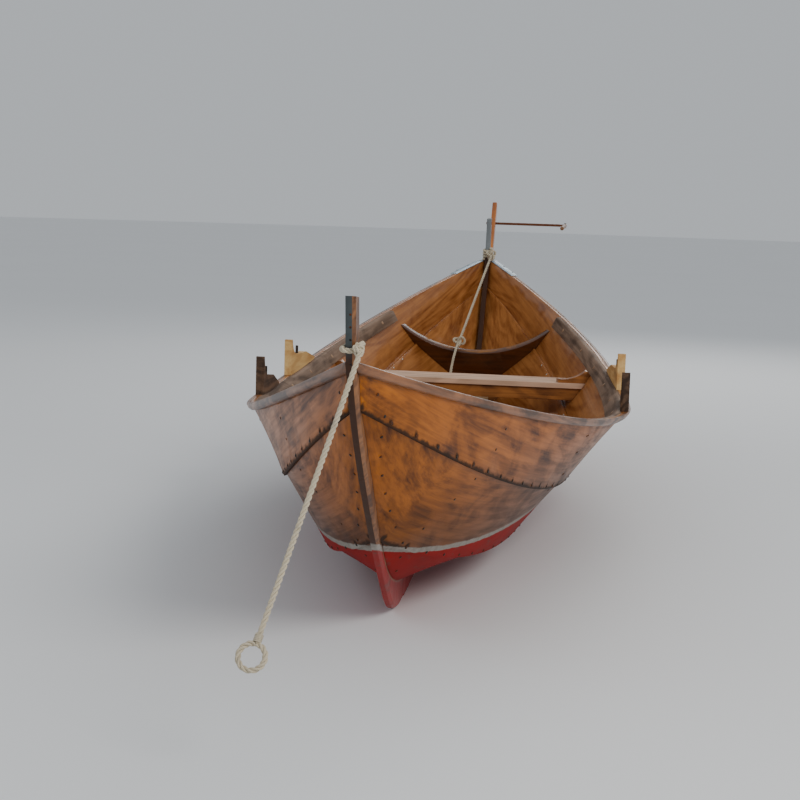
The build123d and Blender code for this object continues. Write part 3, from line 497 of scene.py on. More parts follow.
def planking_material(kind, seed):
    """Varnished planks: deep and mottled outside, paler inside, painted below the waterline."""
    made = settings()
    material, w, shader = new_material(f"{kind}_planking")
    space = along_line(w, kind)
    outer = w.group(
        shared(timber_figure),
        Vector=space["Vector"],
        Seed=seed,
        Pale=opaque(made.outside_pale),
        Deep=opaque(made.outside_deep),
        Fineness=70.0,
        Rings=0.18,
        Mottle=0.46,
        Knots=0.3,
    )
    inner = w.group(
        shared(timber_figure),
        Vector=space["Vector"],
        Seed=seed + 4.0,
        Pale=opaque(made.inside_pale),
        Deep=opaque(made.inside_deep),
        Fineness=60.0,
        Rings=0.30,
        Mottle=0.30,
        Knots=0.5,
    )
    height = w.split(w.place())[2]
    # Outside, near-black towards the bottom: partly painted reflection of dark water, partly water stain.
    stain_and_water_reflection = w.math("MULTIPLY", w.ramp(height, 0.56, 0.20), 0.70)
    outside = w.blend(stain_and_water_reflection, outer["Color"], (0.030, 0.011, 0.002, 1))
    # Inside, darker towards the bottom: painted shade deep in the hull.
    hull_hollow_shade = w.math("MULTIPLY", w.ramp(height, 0.42, 0.10), 0.5)
    inside = w.blend(hull_hollow_shade, inner["Color"], opaque(made.inside_deep))
    colour = w.blend(space["Outside"], inside, outside)
    # Lap seams darkened as painted shade with dirt; iron stains round the rivets.
    lap_shade_and_grime = w.group(
        shared(lap_shade_and_stains), Color=colour, Level=space["Level"], First=FIRST_RIVET[kind], Amount=0.9
    )
    paint = w.group(
        shared(waterline),
        Color=lap_shade_and_grime["Color"],
        Paint=opaque(made.bottom_paint),
        Height=made.paint_height,
        Outside=space["Outside"],
    )
    relief = w.between(space["Outside"], inner["Relief"], outer["Relief"])
    dry = w.math("MAXIMUM", paint["Mask"], lap_shade_and_grime["Mask"])
    values = {
        "Base Color": paint["Color"],
        "Roughness": w.between(dry, w.between(outer["Figure"], 0.30, 0.46), 0.62),
        "Specular IOR Level": 0.12,
        "Coat Weight": w.between(dry, w.between(space["Outside"], 0.50, 0.12), 0.0),
        "Coat Roughness": 0.16,
        "Normal": bump(w, relief, 0.35, 0.0008),
    }
    put(w, shader, values)
    return material


def wood_material(name, pale, deep, axis="Y", line=None, seed=0.0, varnish=0.0, upward_wear_and_light=None, **figure):
    """Any other timber. Its upward-face colour comes as (colour, how much on upward faces, how much all
    over): weathered wood, and on the end frames painted light on their tops.
    """
    material, w, shader = new_material(name)
    vector = along_line(w, line)["Vector"] if line else grain_along(w, axis, figure.pop("tilt", 0.0))
    values = {"Fineness": 70.0, "Rings": 0.35, "Mottle": 0.25, "Knots": 0.4, **figure}
    grain = w.group(
        shared(timber_figure), Vector=vector, Seed=seed, Pale=opaque(pale), Deep=opaque(deep), **values
    )
    colour, rough = grain["Color"], w.between(grain["Figure"], 0.36, 0.50)
    if not varnish:
        rough = w.between(grain["Figure"], 0.62, 0.78)
    coat = varnish
    if upward_wear_and_light:
        wear_and_light_colour, upward, amount = upward_wear_and_light
        weathering_and_light = w.group(
            shared(sun_wear_and_lit_top),
            Vector=vector,
            Color=colour,
            Worn=opaque(wear_and_light_colour),
            Upward=upward,
            Amount=amount,
        )
        colour = weathering_and_light["Color"]
        rough = w.between(weathering_and_light["Mask"], rough, 0.8)
        if varnish:
            coat = w.math("MULTIPLY", w.math("SUBTRACT", 1.0, weathering_and_light["Mask"]), varnish)
    strength = 0.3 if varnish else 0.6
    put(
        w,
        shader,
        {
            "Base Color": colour,
            "Roughness": rough,
            "Specular IOR Level": 0.25,
            "Coat Weight": coat,
            "Coat Roughness": 0.18,
            "Normal": bump(w, grain["Relief"], strength, 0.001),
        },
    )
    return material


def stem_material(name, lit, shaded, head, head_from):
    """A stem: brown on its port side, where the light falls; near-black elsewhere, painted shade with some
    dark stain; grey at its head; bottom paint at its foot.
    """
    made = settings()
    material, w, shader = new_material(name)
    vector = grain_along(w, "Z", 0.5)
    grain = w.group(
        shared(timber_figure), Vector=vector, Seed=7.0, Pale=opaque(lit), Deep=opaque(shaded), Mottle=0.5
    )
    normal_x = w.split(w.facing())[0]
    height = w.split(w.place())[2]
    patches = w.noise(w.vector("MULTIPLY", vector, (1.0, 0.2, 1.0)), 30.0, 4.0, 0.6)
    up = w.ramp(w.math("MULTIPLY_ADD", patches, 0.08, height), head_from, head_from + 0.05)
    bare = w.blend(patches, opaque(head), opaque([part * 0.4 for part in head]))
    dark = w.blend(up, w.blend(patches, opaque([part * 0.35 for part in shaded]), opaque(shaded)), bare)
    # Faces not turned to port go near-black: painted shade of the side away from the light, partly dark
    # stain.
    turned = w.ramp(w.math("MULTIPLY_ADD", patches, 0.5, normal_x), 0.70, 0.45)
    colour = w.blend(turned, grain["Color"], dark)
    below_planks = w.ramp(along_line(w, "garboard")["Level"], 0.008, -0.002)
    paint = w.group(
        shared(waterline),
        Color=colour,
        Paint=opaque(made.bottom_paint),
        Height=made.paint_height,
        Outside=below_planks,
    )
    values = {
        "Base Color": paint["Color"],
        "Roughness": w.between(patches, 0.40, 0.65),
        "Specular IOR Level": 0.25,
        "Coat Weight": w.math("MULTIPLY", w.math("SUBTRACT", 1.0, turned), 0.3),
        "Normal": bump(w, grain["Relief"], 0.6, 0.001),
    }
    put(w, shader, values)
    return material


def iron_material(name, iron, rust, metallic=0.85):
    material, w, shader = new_material(name)
    skin = w.group(shared(forged_skin), Iron=opaque(iron), Rust=rust)
    values = {
        "Base Color": skin["Color"],
        "Roughness": skin["Roughness"],
        "Metallic": metallic,
        "Normal": bump(w, skin["Relief"], 0.4, 0.0006),
    }
    put(w, shader, values)
    return material


def rope_material():
    """Natural fibre: yarns that lie across each strand, painted shade in the grooves between the yarns, and
    darker patches at random.
    """
    made = bpy.context.scene.boat_ropes
    material, w, shader = new_material("laid_fibre")
    around, along, _ = w.split(w.node("ShaderNodeUVMap", uv_map="strand").outputs[0])
    yarns = w.math("SINE", w.math("MULTIPLY", w.math("MULTIPLY_ADD", around, 7.0, along), 2 * math.pi))
    fuzz = w.noise(w.place(), 900.0, 3.0, 0.6)
    tone = w.noise(w.place(), 24.0, 4.0, 0.6)
    pale = opaque(made.fibre)
    deep = opaque([part * 0.62 for part in made.fibre])
    # Darker in the grooves between yarns, as painted shade, and in random patches.
    shade = w.math("MULTIPLY_ADD", w.ramp(yarns, 0.2, -1.0), 0.45, w.ramp(tone, 0.55, 0.75))
    colour = w.blend(shade, pale, deep)
    relief = w.math("MULTIPLY_ADD", fuzz, 0.35, yarns)
    values = {
        "Base Color": colour,
        "Roughness": w.between(fuzz, 0.8, 0.95),
        "Sheen Weight": 0.25,
        "Normal": bump(w, relief, 0.7, 0.0006),
    }
    put(w, shader, values)
    return material


def dress(material, *names):
    """Gives CAD nodes a material."""
    for name in names:
        node = NODES[name]
        if not node.material_slots:
            node.data.materials.append(material)
        for slot in node.material_slots:
            slot.material = material


def ease(radius, *names):
    """Eases the sawn edges of CAD nodes."""
    for name in names:
        weld = NODES[name].modifiers.new("weld", "WELD")
        weld.merge_threshold = 0.00002
        bevel = NODES[name].modifiers.new("eased_edges", "BEVEL")
        bevel.width = radius
        bevel.segments = 2
        bevel.limit_method = "ANGLE"
        bevel.angle_limit = math.radians(38)
        bevel.use_clamp_overlap = True
        bevel.harden_normals = True


def both(name):
    return f"{name}_port", f"{name}_starboard"


# ---------------------------------------------------------------- small pieces
def new_piece(name, mesh, material, body):
    mesh.name = name
    piece = bpy.data.objects.new(name, mesh)
    bpy.context.scene.collection.objects.link(piece)
    mesh.materials.append(material)
    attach(piece, body)
    return piece


def surface_of(*names):
    """A searchable surface of CAD nodes."""
    points, faces = [], []
    for name in names:
        mesh = NODES[name].data
        first = len(points)
        points += [vertex.co.copy() for vertex in mesh.vertices]
        faces += [[first + index for index in polygon.vertices] for polygon in mesh.polygons]
    return BVHTree.FromPolygons(points, faces)


def domes(name, places, radius, height, material, sides=12):
    """Low domed heads, one at each (point, normal)."""
    bm = bmesh.new()
    for point, normal in places:
        turn = normal.to_track_quat("Z", "Y").to_matrix().to_4x4()
        rings = []
        for share, lift in ((1.0, -0.3), (1.0, 0.35), (0.72, 0.82)):
            ring = []
            for k in range(sides):
                angle = 2 * math.pi * k / sides
                local = Vector((math.cos(angle), math.sin(angle), 0)) * share * radius
                ring.append(bm.verts.new(point + turn @ local + normal * lift * height))
            rings.append(ring)
        for lower, upper in zip(rings, rings[1:]):
            for k in range(sides):
                bm.faces.new((lower[k], lower[(k + 1) % sides], upper[(k + 1) % sides], upper[k]))
        crown = bm.verts.new(point + normal * height)
        for k in range(sides):
            bm.faces.new((rings[-1][k], rings[-1][(k + 1) % sides], crown))
        bm.faces.new(list(reversed(rings[0])))
    mesh = bpy.data.meshes.new(name)
    bm.to_mesh(mesh)
    bm.free()
    for polygon in mesh.polygons:
        polygon.use_smooth = True
    return new_piece(name, mesh, material, "hull")


def gunwale_height(y):
    _, _, _, low, bow_high, stern_high, sweep, reach = PLANK_LINES["gunwale"]
    high = bow_high if y < 0 else stern_high
    return low + (high - low) * (abs(y) / reach) ** sweep


def shoot(surface, start, direction):
    """Where a line first meets a surface, and the surface's normal there, turned to face the line."""
    point, normal, _, _ = surface.ray_cast(Vector(start), Vector(direction).normalized())
    if point is None:
        raise RuntimeError(f"nothing lies ahead of {tuple(start)}")
    if normal.dot(Vector(direction)) > 0:
        normal = -normal
    return point, normal


# ---------------------------------------------------------------- ropes
def route_curve(name, points):
    """A smooth curve with the points of a route as its control points."""
    data = bpy.data.curves.new(name, "CURVE")
    data.dimensions = "3D"
    data.resolution_u = 24
    spline = data.splines.new("NURBS")
    spline.points.add(len(points) - 1)
    for control, point in zip(spline.points, points):
        control.co = (*point, 1.0)
    spline.order_u = 3
    spline.use_endpoint_u = True
    curve = bpy.data.objects.new(name, data)
    bpy.context.scene.collection.objects.link(curve)
    return curve


def line_of(points):
    """Closely spaced points of the smooth curve through a route."""
    curve = route_curve("route", points)
    bpy.context.view_layer.update()
    mesh = bpy.data.meshes.new_from_object(curve.evaluated_get(bpy.context.evaluated_depsgraph_get()))
    line = [vertex.co.copy() for vertex in mesh.vertices]
    data = curve.data
    bpy.data.objects.remove(curve)
    bpy.data.curves.remove(data)
    bpy.data.meshes.remove(mesh)
    return line


def evenly(line, step):
    """The same line with its points a step apart."""
    total = sum((b - a).length for a, b in zip(line, line[1:]))
    count = max(2, round(total / step))
    spaced, run, index = [line[0].copy()], 0.0, 0
    for k in range(1, count):
        target = total * k / count
        while run + (line[index + 1] - line[index]).length < target:
            run += (line[index + 1] - line[index]).length
            index += 1
        share = (target - run) / (line[index + 1] - line[index]).length
        spaced.append(line[index].lerp(line[index + 1], share))
    return [*spaced, line[-1].copy()]


def laid_rope(name, line, material, body="hull", sides=8, strands=3):
    """Strands laid round a line, each a tube of its own, closed at both ends."""
    made = bpy.context.scene.boat_ropes
    line = evenly(line, 0.003)
    radius = made.diameter / 2
    offset, thick = radius * 0.515, radius * 0.485
    bm = bmesh.new()
    uv = bm.loops.layers.uv.new("strand")
    tangents = [(b - a).normalized() for a, b in zip(line, line[1:])]
    tangents = [tangents[0], *[(a + b).normalized() for a, b in zip(tangents, tangents[1:])], tangents[-1]]
    side = tangents[0].orthogonal().normalized()
    frames = []
    for tangent in tangents:
        side = (side - tangent * side.dot(tangent)).normalized()
        frames.append((side.copy(), tangent.cross(side)))
    step = (line[1] - line[0]).length
    for strand in range(strands):
        rings = []
        for k, (point, (right, up)) in enumerate(zip(line, frames)):
            angle = 2 * math.pi * (strand / strands + k * step / made.lay)
            middle = point + (right * math.cos(angle) + up * math.sin(angle)) * offset
            ring = []
            for corner in range(sides):
                turn = angle + 2 * math.pi * corner / sides
                ring.append(bm.verts.new(middle + (right * math.cos(turn) + up * math.sin(turn)) * thick))
            rings.append(ring)
        for k, (back, ahead) in enumerate(zip(rings, rings[1:])):
            for corner in range(sides):
                following = (corner + 1) % sides
                face = bm.faces.new((back[corner], back[following], ahead[following], ahead[corner]))
                face.smooth = True
                corners = ((corner, k), (corner + 1, k), (corner + 1, k + 1), (corner, k + 1))
                for loop, (u, v) in zip(face.loops, corners):
                    loop[uv].uv = (u / sides, v * step / 0.008)
        bm.faces.new(list(reversed(rings[0])))
        bm.faces.new(rings[-1])
    mesh = bpy.data.meshes.new(name)
    bm.to_mesh(mesh)
    bm.free()
    return new_piece(name, mesh, material, body)


def post_section(node, height):
    """Half-width of a post at a height, and its fore and aft faces."""
    bm = bmesh.new()
    bm.from_mesh(NODES[node].data)
    cut = bmesh.ops.bisect_plane(
        bm, geom=[*bm.verts, *bm.edges, *bm.faces], plane_co=(0, 0, height), plane_no=(0, 0, 1)
    )
    corners = [part.co.copy() for part in cut["geom_cut"] if isinstance(part, bmesh.types.BMVert)]
    bm.free()
    along = [corner.y for corner in corners]
    return max(corner.x for corner in corners), min(along), max(along)


def wrapped(node, top, turns, start_corner=0):
    """A line that winds down round a post, with its corners rounded."""
    made = bpy.context.scene.boat_ropes
    radius = made.diameter / 2
    pitch = made.diameter * 1.06
    half, front, back = post_section(node, top - pitch * turns / 2)
    corners = [(half, back, 0.0), (-half, back, 90.0), (-half, front, 180.0), (half, front, 270.0)]
    line = []
    for k in range(round(turns * 4) + 1):
        x, y, heading = corners[(k + start_corner) % 4]
        for part in range(5):
            angle = math.radians(heading + 90 * part / 4)
            down = pitch * (k + part / 4) / 4
            around = Vector((math.cos(angle), math.sin(angle), 0)) * (radius + 0.0006)
            line.append(Vector((x, y, top - down)) + around)
    return line


def tight_knot(middle, size, turn):
    """The line of a small overhand knot."""
    line = []
    for k in range(97):
        angle = 2 * math.pi * k / 96
        local = Vector(
            (
                math.sin(angle) + 2 * math.sin(2 * angle),
                math.cos(angle) - 2 * math.cos(2 * angle),
                -1.15 * math.sin(3 * angle),
            )
        )
        line.append(Vector(middle) + turn @ (local * size))
    return line


def coil_route():
    """Turns of the put-away length: two rings below and two on top, on the sloping boards."""
    tilt = Matrix.Rotation(math.atan(COIL_SLOPE), 3, "X")
    rings = [(0.0835, 0.0085), (0.069, 0.0080), (0.071, 0.0222), (0.0855, 0.0228)]
    points, per_turn = [], 18
    total = round(per_turn * 3.5)
    for k in range(1, total + 1):
        turn = k / per_turn
        ring, share = int(turn), turn - int(turn)
        now, following = rings[min(ring, 3)], rings[min(ring + 1, 3)]
        blend = max(0.0, (share - 0.72) / 0.28)
        blend = blend * blend * (3 - 2 * blend)
        radius = now[0] + (following[0] - now[0]) * blend + 0.0012 * math.sin(k * 1.9)
        height = now[1] + (following[1] - now[1]) * blend
        if total - k < 3:
            height += (3 - total + k) * 0.0035
        angle = math.pi + 2 * math.pi * turn
        local = Vector((radius * math.cos(angle), radius * math.sin(angle), height))
        points.append(tuple(Vector(COIL_MIDDLE) + tilt @ local))
    return points


# ---------------------------------------------------------------- building
def finish_planking():
    for seed, kind in enumerate(STRAKES):
        names = both(f"{kind}_strake")
        dress(planking_material(kind, seed * 2.3), *names)
        ease(0.0012, *names)


def finish_backbone():
    radius = settings().edge_radius
    brown, deep = (0.30, 0.125, 0.045), (0.075, 0.028, 0.012)
    dress(stem_material("bow_stem_timber", brown, deep, (0.085, 0.100, 0.105), 0.90), "bow_stem")
    grey = (0.24, 0.26, 0.27)
    dress(stem_material("stern_stem_timber", (0.19, 0.07, 0.03), deep, grey, 0.98), "stern_stem")
    dress(stem_material("keel_timber", brown, deep, deep, 2.0), "keel")
    ease(radius, "bow_stem", "stern_stem", "keel")


def finish_rails():
    radius = settings().edge_radius
    outer = wood_material(
        "outer_rail_timber",
        (0.34, 0.13, 0.045),
        (0.07, 0.03, 0.015),
        line="gunwale",
        seed=3.0,
        varnish=0.35,
        upward_wear_and_light=((0.46, 0.45, 0.43), 0.52, 0.02),
        Mottle=0.55,
    )
    inner = wood_material(
        "inner_rail_timber",
        (0.27, 0.17, 0.11),
        (0.085, 0.050, 0.032),
        line="gunwale",
        seed=5.0,
        upward_wear_and_light=((0.30, 0.26, 0.23), 0.25, 0.18),
        Mottle=0.5,
    )
    dress(outer, *both("outer_rail"))
    dress(inner, *both("inner_rail"))
    ease(radius * 1.5, *both("outer_rail"), *both("inner_rail"))
    pegs = wood_material("treenail_timber", (0.42, 0.26, 0.15), (0.16, 0.08, 0.04), axis="X", Fineness=240.0)
    surface = surface_of(*both("inner_rail"))
    places = []
    for side in (-1, 1):
        for k in range(11):
            y = -1.45 + 0.29 * k + 0.012 * math.sin(k * 2.7)
            start = (0.0, y, gunwale_height(y) - TREENAIL_DROP)
            places.append(shoot(surface, start, (side, 0, 0)))
    domes("inner_rail_treenails", places, 0.0085, 0.0012, pegs, 14)


def finish_frames():
    radius = settings().edge_radius
    lit_golden, dark = (0.42, 0.17, 0.035), (0.055, 0.018, 0.006)
    # End frames: near-black all over as painted shade, with their golden colour only on faces that look up,
    # as painted light on their tops.
    end_frame = wood_material(
        "end_frame_timber",
        (0.12, 0.036, 0.010),
        dark,
        axis="X",
        seed=2.0,
        varnish=0.7,
        upward_wear_and_light=(lit_golden, 0.85, -0.25),
        Mottle=0.4,
    )
    timber = wood_material(
        "frame_timber", (0.40, 0.15, 0.035), (0.12, 0.038, 0.010), axis="X", seed=6.0, varnish=0.5, Mottle=0.4
    )
    dress(end_frame, "bow_frame", "stern_frame")
    places = ("forward", "middle", "aft")
    names = [f"{place}_{piece}" for place in places for piece in ("floor_timber", "crossbeam", "knees")]
    names += ["bow_floor_timber", "stern_floor_timber"]
    dress(timber, *names)
    ease(radius, "bow_frame", "stern_frame", *names)


def finish_thwarts():
    made = settings()
    deep = [part * 0.62 for part in made.pine]
    pine = wood_material(
        "thwart_pine",
        made.pine,
        deep,
        axis="X",
        seed=1.0,
        upward_wear_and_light=((0.74, 0.60, 0.50), 0.25, 0.05),
        Rings=0.5,
        Mottle=0.12,
        Knots=0.8,
    )
    boards = wood_material(
        "floorboard_pine",
        (0.40, 0.24, 0.12),
        (0.16, 0.085, 0.04),
        seed=8.0,
        upward_wear_and_light=((0.30, 0.25, 0.20), 0.35, 0.05),
        Mottle=0.35,
    )
    thwarts = [f"{place}_thwart" for place in ("forward", "middle", "aft")]
    floors = [f"{place}_floorboards" for place in ("forward", "aft", "stern")]
    dress(pine, *thwarts)
    dress(boards, *floors)
    ease(made.edge_radius * 1.5, *thwarts)
    ease(made.edge_radius, *floors)


def finish_rowlocks():
    made = settings()
    old = wood_material(
        "weathered_block",
        (0.17, 0.095, 0.055),
        (0.045, 0.026, 0.017),
        seed=4.0,
        upward_wear_and_light=((0.30, 0.27, 0.24), 0.30, 0.05),
        Mottle=0.6,
        Rings=0.5,
    )
    new = wood_material(
        "fresh_block", made.new_pine, (0.50, 0.25, 0.08), seed=9.0, Rings=0.45, Mottle=0.15, Knots=0.7
    )
    peg = wood_material("peg_timber", (0.05, 0.034, 0.025), (0.018, 0.012, 0.010), axis="Z", seed=2.0)
    dress(old, *both("forward_rowlock_block"))
    dress(new, *both("aft_rowlock_block"))
    dress(peg, "rowlock_pegs")
    ease(made.edge_radius, *both("forward_rowlock_block"), *both("aft_rowlock_block"))


def finish_steering():
    made = settings()
    bright = wood_material(
        "rudder_timber",
        (0.62, 0.19, 0.022),
        (0.26, 0.065, 0.010),
        axis="Z",
        tilt=0.77,
        seed=3.0,
        varnish=0.8,
        Mottle=0.3,
        Knots=0.6,
    )
    oiled = wood_material(
        "tiller_timber", (0.34, 0.17, 0.07), (0.14, 0.06, 0.025), seed=1.0, varnish=0.25, Fineness=160.0
    )
    dress(bright, "rudder")
    dress(oiled, "tiller")
    ease(made.edge_radius * 1.5, "rudder")


def frame_nail_places():
    """Where nails go through the outside planking: in pairs into the upright frames, singly into the
    end frames, which lean."""
    places = []
    for side, name in ((-1, "starboard"), (1, "port")):
        planks = surface_of(*(f"{kind}_strake_{name}" for kind in STRAKES))
        for station in (*FRAME_STATIONS, *END_FRAME_STATIONS):
            sheer = gunwale_height(station)
            leaning = station in END_FRAME_STATIONS
            lean = math.copysign(END_FRAME_LEAN, station) if leaning else 0.0
            for k in range(5):
                for pair in (0.008,) if leaning else (-0.008, 0.008):
                    height = sheer - 0.055 - 0.068 * k + 0.006 * math.sin(k * 3.1 + station)
                    y = station + lean * (sheer - height) + pair
                    places.append(shoot(planks, (side * CLEAR_OF_HULL, y, height), (-side, 0, 0)))
    return places


def finish_ironwork():
    iron = iron_material("forged_iron", (0.030, 0.029, 0.028), 0.45)
    heads = iron_material("nail_iron", (0.020, 0.016, 0.013), 0.55, 0.6)
    roves = iron_material("bright_rove", (0.55, 0.52, 0.46), 0.10, 0.95)
    zinc = iron_material("galvanised_plate", (0.36, 0.43, 0.48), 0.12, 0.5)
    dress(iron, "gudgeons", "pintles", "tiller_pin")
    dress(iron_material("rusted_arm", (0.13, 0.045, 0.018), 0.7, 0.5), "tiller_arm")
    dress(heads, "lap_rivet_heads", "stem_nails")
    dress(roves, "lap_rivet_roves")
    dress(zinc, *both("stern_plate"))
    ease(0.0006, "gudgeons", "pintles", "stern_plate_port", "stern_plate_starboard")
    domes("frame_nail_heads", frame_nail_places(), 0.0042, 0.0016, heads, 10)
    places = []
    for thwart in ("forward_thwart", "middle_thwart", "aft_thwart"):
        low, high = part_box(thwart)
        surface = surface_of(thwart)
        for x in (low[0] * 0.82, high[0] * 0.82):
            for y in (low[1] + 0.026, low[1] + 0.048):
                places.append(shoot(surface, (x, y, high[2] + 0.1), (0, 0, -1)))
    domes("thwart_nail_heads", places, 0.0045, 0.0012, heads, 10)
    post = surface_of("bow_stem")
    places = [shoot(post, (0.0, -3.0, 0.86 + 0.03 * k), (0, 1, 0)) for k in range(5)]
    domes("bow_post_nails", places, 0.0030, 0.0010, heads, 8)
    places = []
    for name in both("stern_plate"):
        low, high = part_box(name)
        surface = surface_of(name)
        for share in (0.12, 0.5, 0.88):
            y = low[1] + (high[1] - low[1]) * share
            outer, inner = (high[0], low[0]) if high[0] > 0 else (low[0], high[0])
            x = outer + (inner - outer) * share
            point = surface.find_nearest(Vector((x, y, high[2] + 0.05)))[0]
            places.append((point, Vector((0, 0, 1))))
    domes("stern_plate_screws", places, 0.0045, 0.0012, iron, 10)


def finish_plug():
    pale, deep = (0.46, 0.30, 0.16), (0.22, 0.12, 0.06)
    dress(wood_material("plug_timber", pale, deep, axis="Z", Fineness=200.0), "drain_plug")
    ease(0.001, "drain_plug")


def make_painter():
    made = bpy.context.scene.boat_ropes
    fibre = bpy.data.materials.get("laid_fibre") or rope_material()
    line = line_of(PAINTER_ROUTE)
    painter = laid_rope("bow_painter", line, fibre)
    hitch = laid_rope("bow_hitch_turn", wrapped("bow_stem", HITCH_HEIGHT + 0.008, 1.0, 3), fibre)
    turn = Vector((0.55, -0.75, 0.25)).to_track_quat("Z", "Y").to_matrix()
    knot = laid_rope("bow_hitch_knot", tight_knot((0.022, -2.514, 0.898), 0.0036, turn), fibre)
    pull = (Vector(PAINTER_ROUTE[-1]) - Vector(PAINTER_ROUTE[-2])).normalized()
    normal = Vector((0, -pull.z, pull.y)).normalized()
    side = normal.cross(pull)
    loop_radius = 0.030
    middle = Vector(PAINTER_ROUTE[-1]) + pull * loop_radius
    loop = []
    for k in range(41):
        angle = math.pi + 2 * math.pi * k / 40
        loop.append(middle + (pull * math.cos(angle) + side * math.sin(angle)) * loop_radius)
    eye = laid_rope("painter_eye_loop", loop, fibre)
    throat = []
    for k in range(121):
        angle = 2 * math.pi * k / 24
        around = (side * math.cos(angle) + normal * math.sin(angle)) * (made.diameter / 2 + 0.0012)
        throat.append(line[-1] - pull * (0.022 - 0.018 * k / 120) + around)
    seizing = twine("painter_seizing", throat, 0.0019, fibre)
    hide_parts("painter")
    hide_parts("painter_hitch")
    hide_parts("painter_eye")


def twine(name, line, radius, material, sides=6):
    """A thin closed tube along a line."""
    bm = bmesh.new()
    uv = bm.loops.layers.uv.new("strand")
    rings = []
    side = (line[1] - line[0]).orthogonal().normalized()
    for k, point in enumerate(line):
        ahead, behind = line[min(k + 1, len(line) - 1)], line[max(k - 1, 0)]
        tangent = (ahead - behind).normalized()
        side = (side - tangent * side.dot(tangent)).normalized()
        up = tangent.cross(side)
        ring = []
        for corner in range(sides):
            angle = 2 * math.pi * corner / sides
            ring.append(bm.verts.new(point + (side * math.cos(angle) + up * math.sin(angle)) * radius))
        rings.append(ring)
    for k, (back, ahead) in enumerate(zip(rings, rings[1:])):
        for corner in range(sides):
            following = (corner + 1) % sides
            face = bm.faces.new((back[corner], back[following], ahead[following], ahead[corner]))
            face.smooth = True
            for loop, (u, v) in zip(face.loops, ((0, k), (1, k), (1, k + 1), (0, k + 1))):
                loop[uv].uv = ((corner + u) / sides, v * 0.4)
    bm.faces.new(list(reversed(rings[0])))
    bm.faces.new(rings[-1])
    mesh = bpy.data.meshes.new(name)
    bm.to_mesh(mesh)
    bm.free()
    return new_piece(name, mesh, material, "hull")


def make_stern_line():
    fibre = bpy.data.materials.get("laid_fibre") or rope_material()
    route = [*STERN_ROUTE, *coil_route()]
    line = line_of(route)
    rope = laid_rope("stern_rope", line, fibre)
    lashing = laid_rope("stern_lashing_turns", wrapped("stern_stem", LASHING_HEIGHT + 0.014, 3.75, 3), fibre)
    turn = Vector((0.35, -0.85, 0.35)).to_track_quat("Z", "Y").to_matrix()
    bow = laid_rope("stern_lashing_knot", tight_knot((0.024, 2.376, 0.962), 0.0088, turn), fibre)
    turn = Vector((-0.3, -0.8, 0.5)).to_track_quat("Z", "Y").to_matrix()
    knot = laid_rope("stern_frame_knot", tight_knot(STERN_KNOT, 0.0100, turn), fibre)
    end = Vector(route[-1])
    turn = Vector((0.1, 1.0, 0.3)).to_track_quat("Z", "Y").to_matrix()
    stopper = laid_rope("stern_rope_stopper", tight_knot(end, 0.0036, turn), fibre)
    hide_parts("stern_line", "stern_line_coil")
    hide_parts("stern_lashing")
    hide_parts("stern_line_knot")
    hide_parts("stern_line_end")


def area_light(name, place, target, size, power, colour):
    data = bpy.data.lights.new(name, "AREA")
    data.shape = "DISK"
    data.size = size
    data.energy = power
    data.color = colour
    light = bpy.data.objects.new(name, data)
    light.location = place
    light.rotation_euler = (Vector(target) - Vector(place)).to_track_quat("-Z", "Y").to_euler()
    bpy.context.scene.collection.objects.link(light)


def set_stage():
    made = bpy.context.scene.boat_stage
    bm = bmesh.new()
    bmesh.ops.create_circle(bm, cap_ends=True, segments=96, radius=60)
    mesh = bpy.data.meshes.new("studio_floor")
    bm.to_mesh(mesh)
    bm.free()
    floor = bpy.data.objects.new("studio_floor", mesh)
    bpy.context.scene.collection.objects.link(floor)
    material, w, shader = new_material("studio_floor")
    tone = w.noise(w.place(), 0.5, 2.0)
    pale = opaque(made.floor)
    colour = w.blend(tone, pale, opaque([part * 0.96 for part in made.floor]))
    put(w, shader, {"Base Color": colour, "Roughness": 0.85})
    mesh.materials.append(material)
    world = bpy.data.worlds.new("studio_air")
    world.use_nodes = True
    background = world.node_tree.nodes["Background"]
    background.inputs["Color"].default_value = (0.80, 0.84, 0.88, 1)
    background.inputs["Strength"].default_value = 0.62
    bpy.context.scene.world = world
    area_light("key_light", (4.2, -5.6, 4.6), (0, -0.8, 0.5), 3.2, made.key_power, (1.0, 0.97, 0.92))
    area_light("fill_light", (-5.0, -3.0, 3.2), (0, -0.6, 0.4), 4.0, made.fill_power, (0.88, 0.94, 1.0))
    area_light("back_light", (1.5, 6.5, 4.5), (0, 1.0, 0.5), 4.0, made.key_power * 0.5, (1.0, 0.98, 0.95))
    target = Vector((0.1144, -2.45, 0.7773))
    azimuth, elevation = made.azimuth, made.elevation
    back = Vector(
        (
            math.sin(azimuth) * math.cos(elevation),
            -math.cos(azimuth) * math.cos(elevation),
            math.sin(elevation),
        )
    )
    level = (-back).cross(Vector((0, 0, 1))).normalized()
    upright = level.cross(-back)
    right = level * math.cos(made.roll) + upright * math.sin(made.roll)
    up = upright * math.cos(made.roll) - level * math.sin(made.roll)
    data = bpy.data.cameras.new("studio_camera")
    data.lens = made.lens
    data.sensor_width = 36
    camera = bpy.data.objects.new("studio_camera", data)
    turn = Matrix((right, up, back)).transposed().to_4x4()
    camera.matrix_world = Matrix.Translation(target + back * made.distance) @ turn
    bpy.context.scene.collection.objects.link(camera)
    bpy.context.scene.camera = camera


# ---------------------------------------------------------------- operators
class BOAT_OT_stage(bpy.types.Operator):
    """Set up the floor, the lights and the camera"""

    bl_idname = "boat.stage"
    bl_label = "Stage"

    def execute(self, context):
        set_stage()
        return {"FINISHED"}


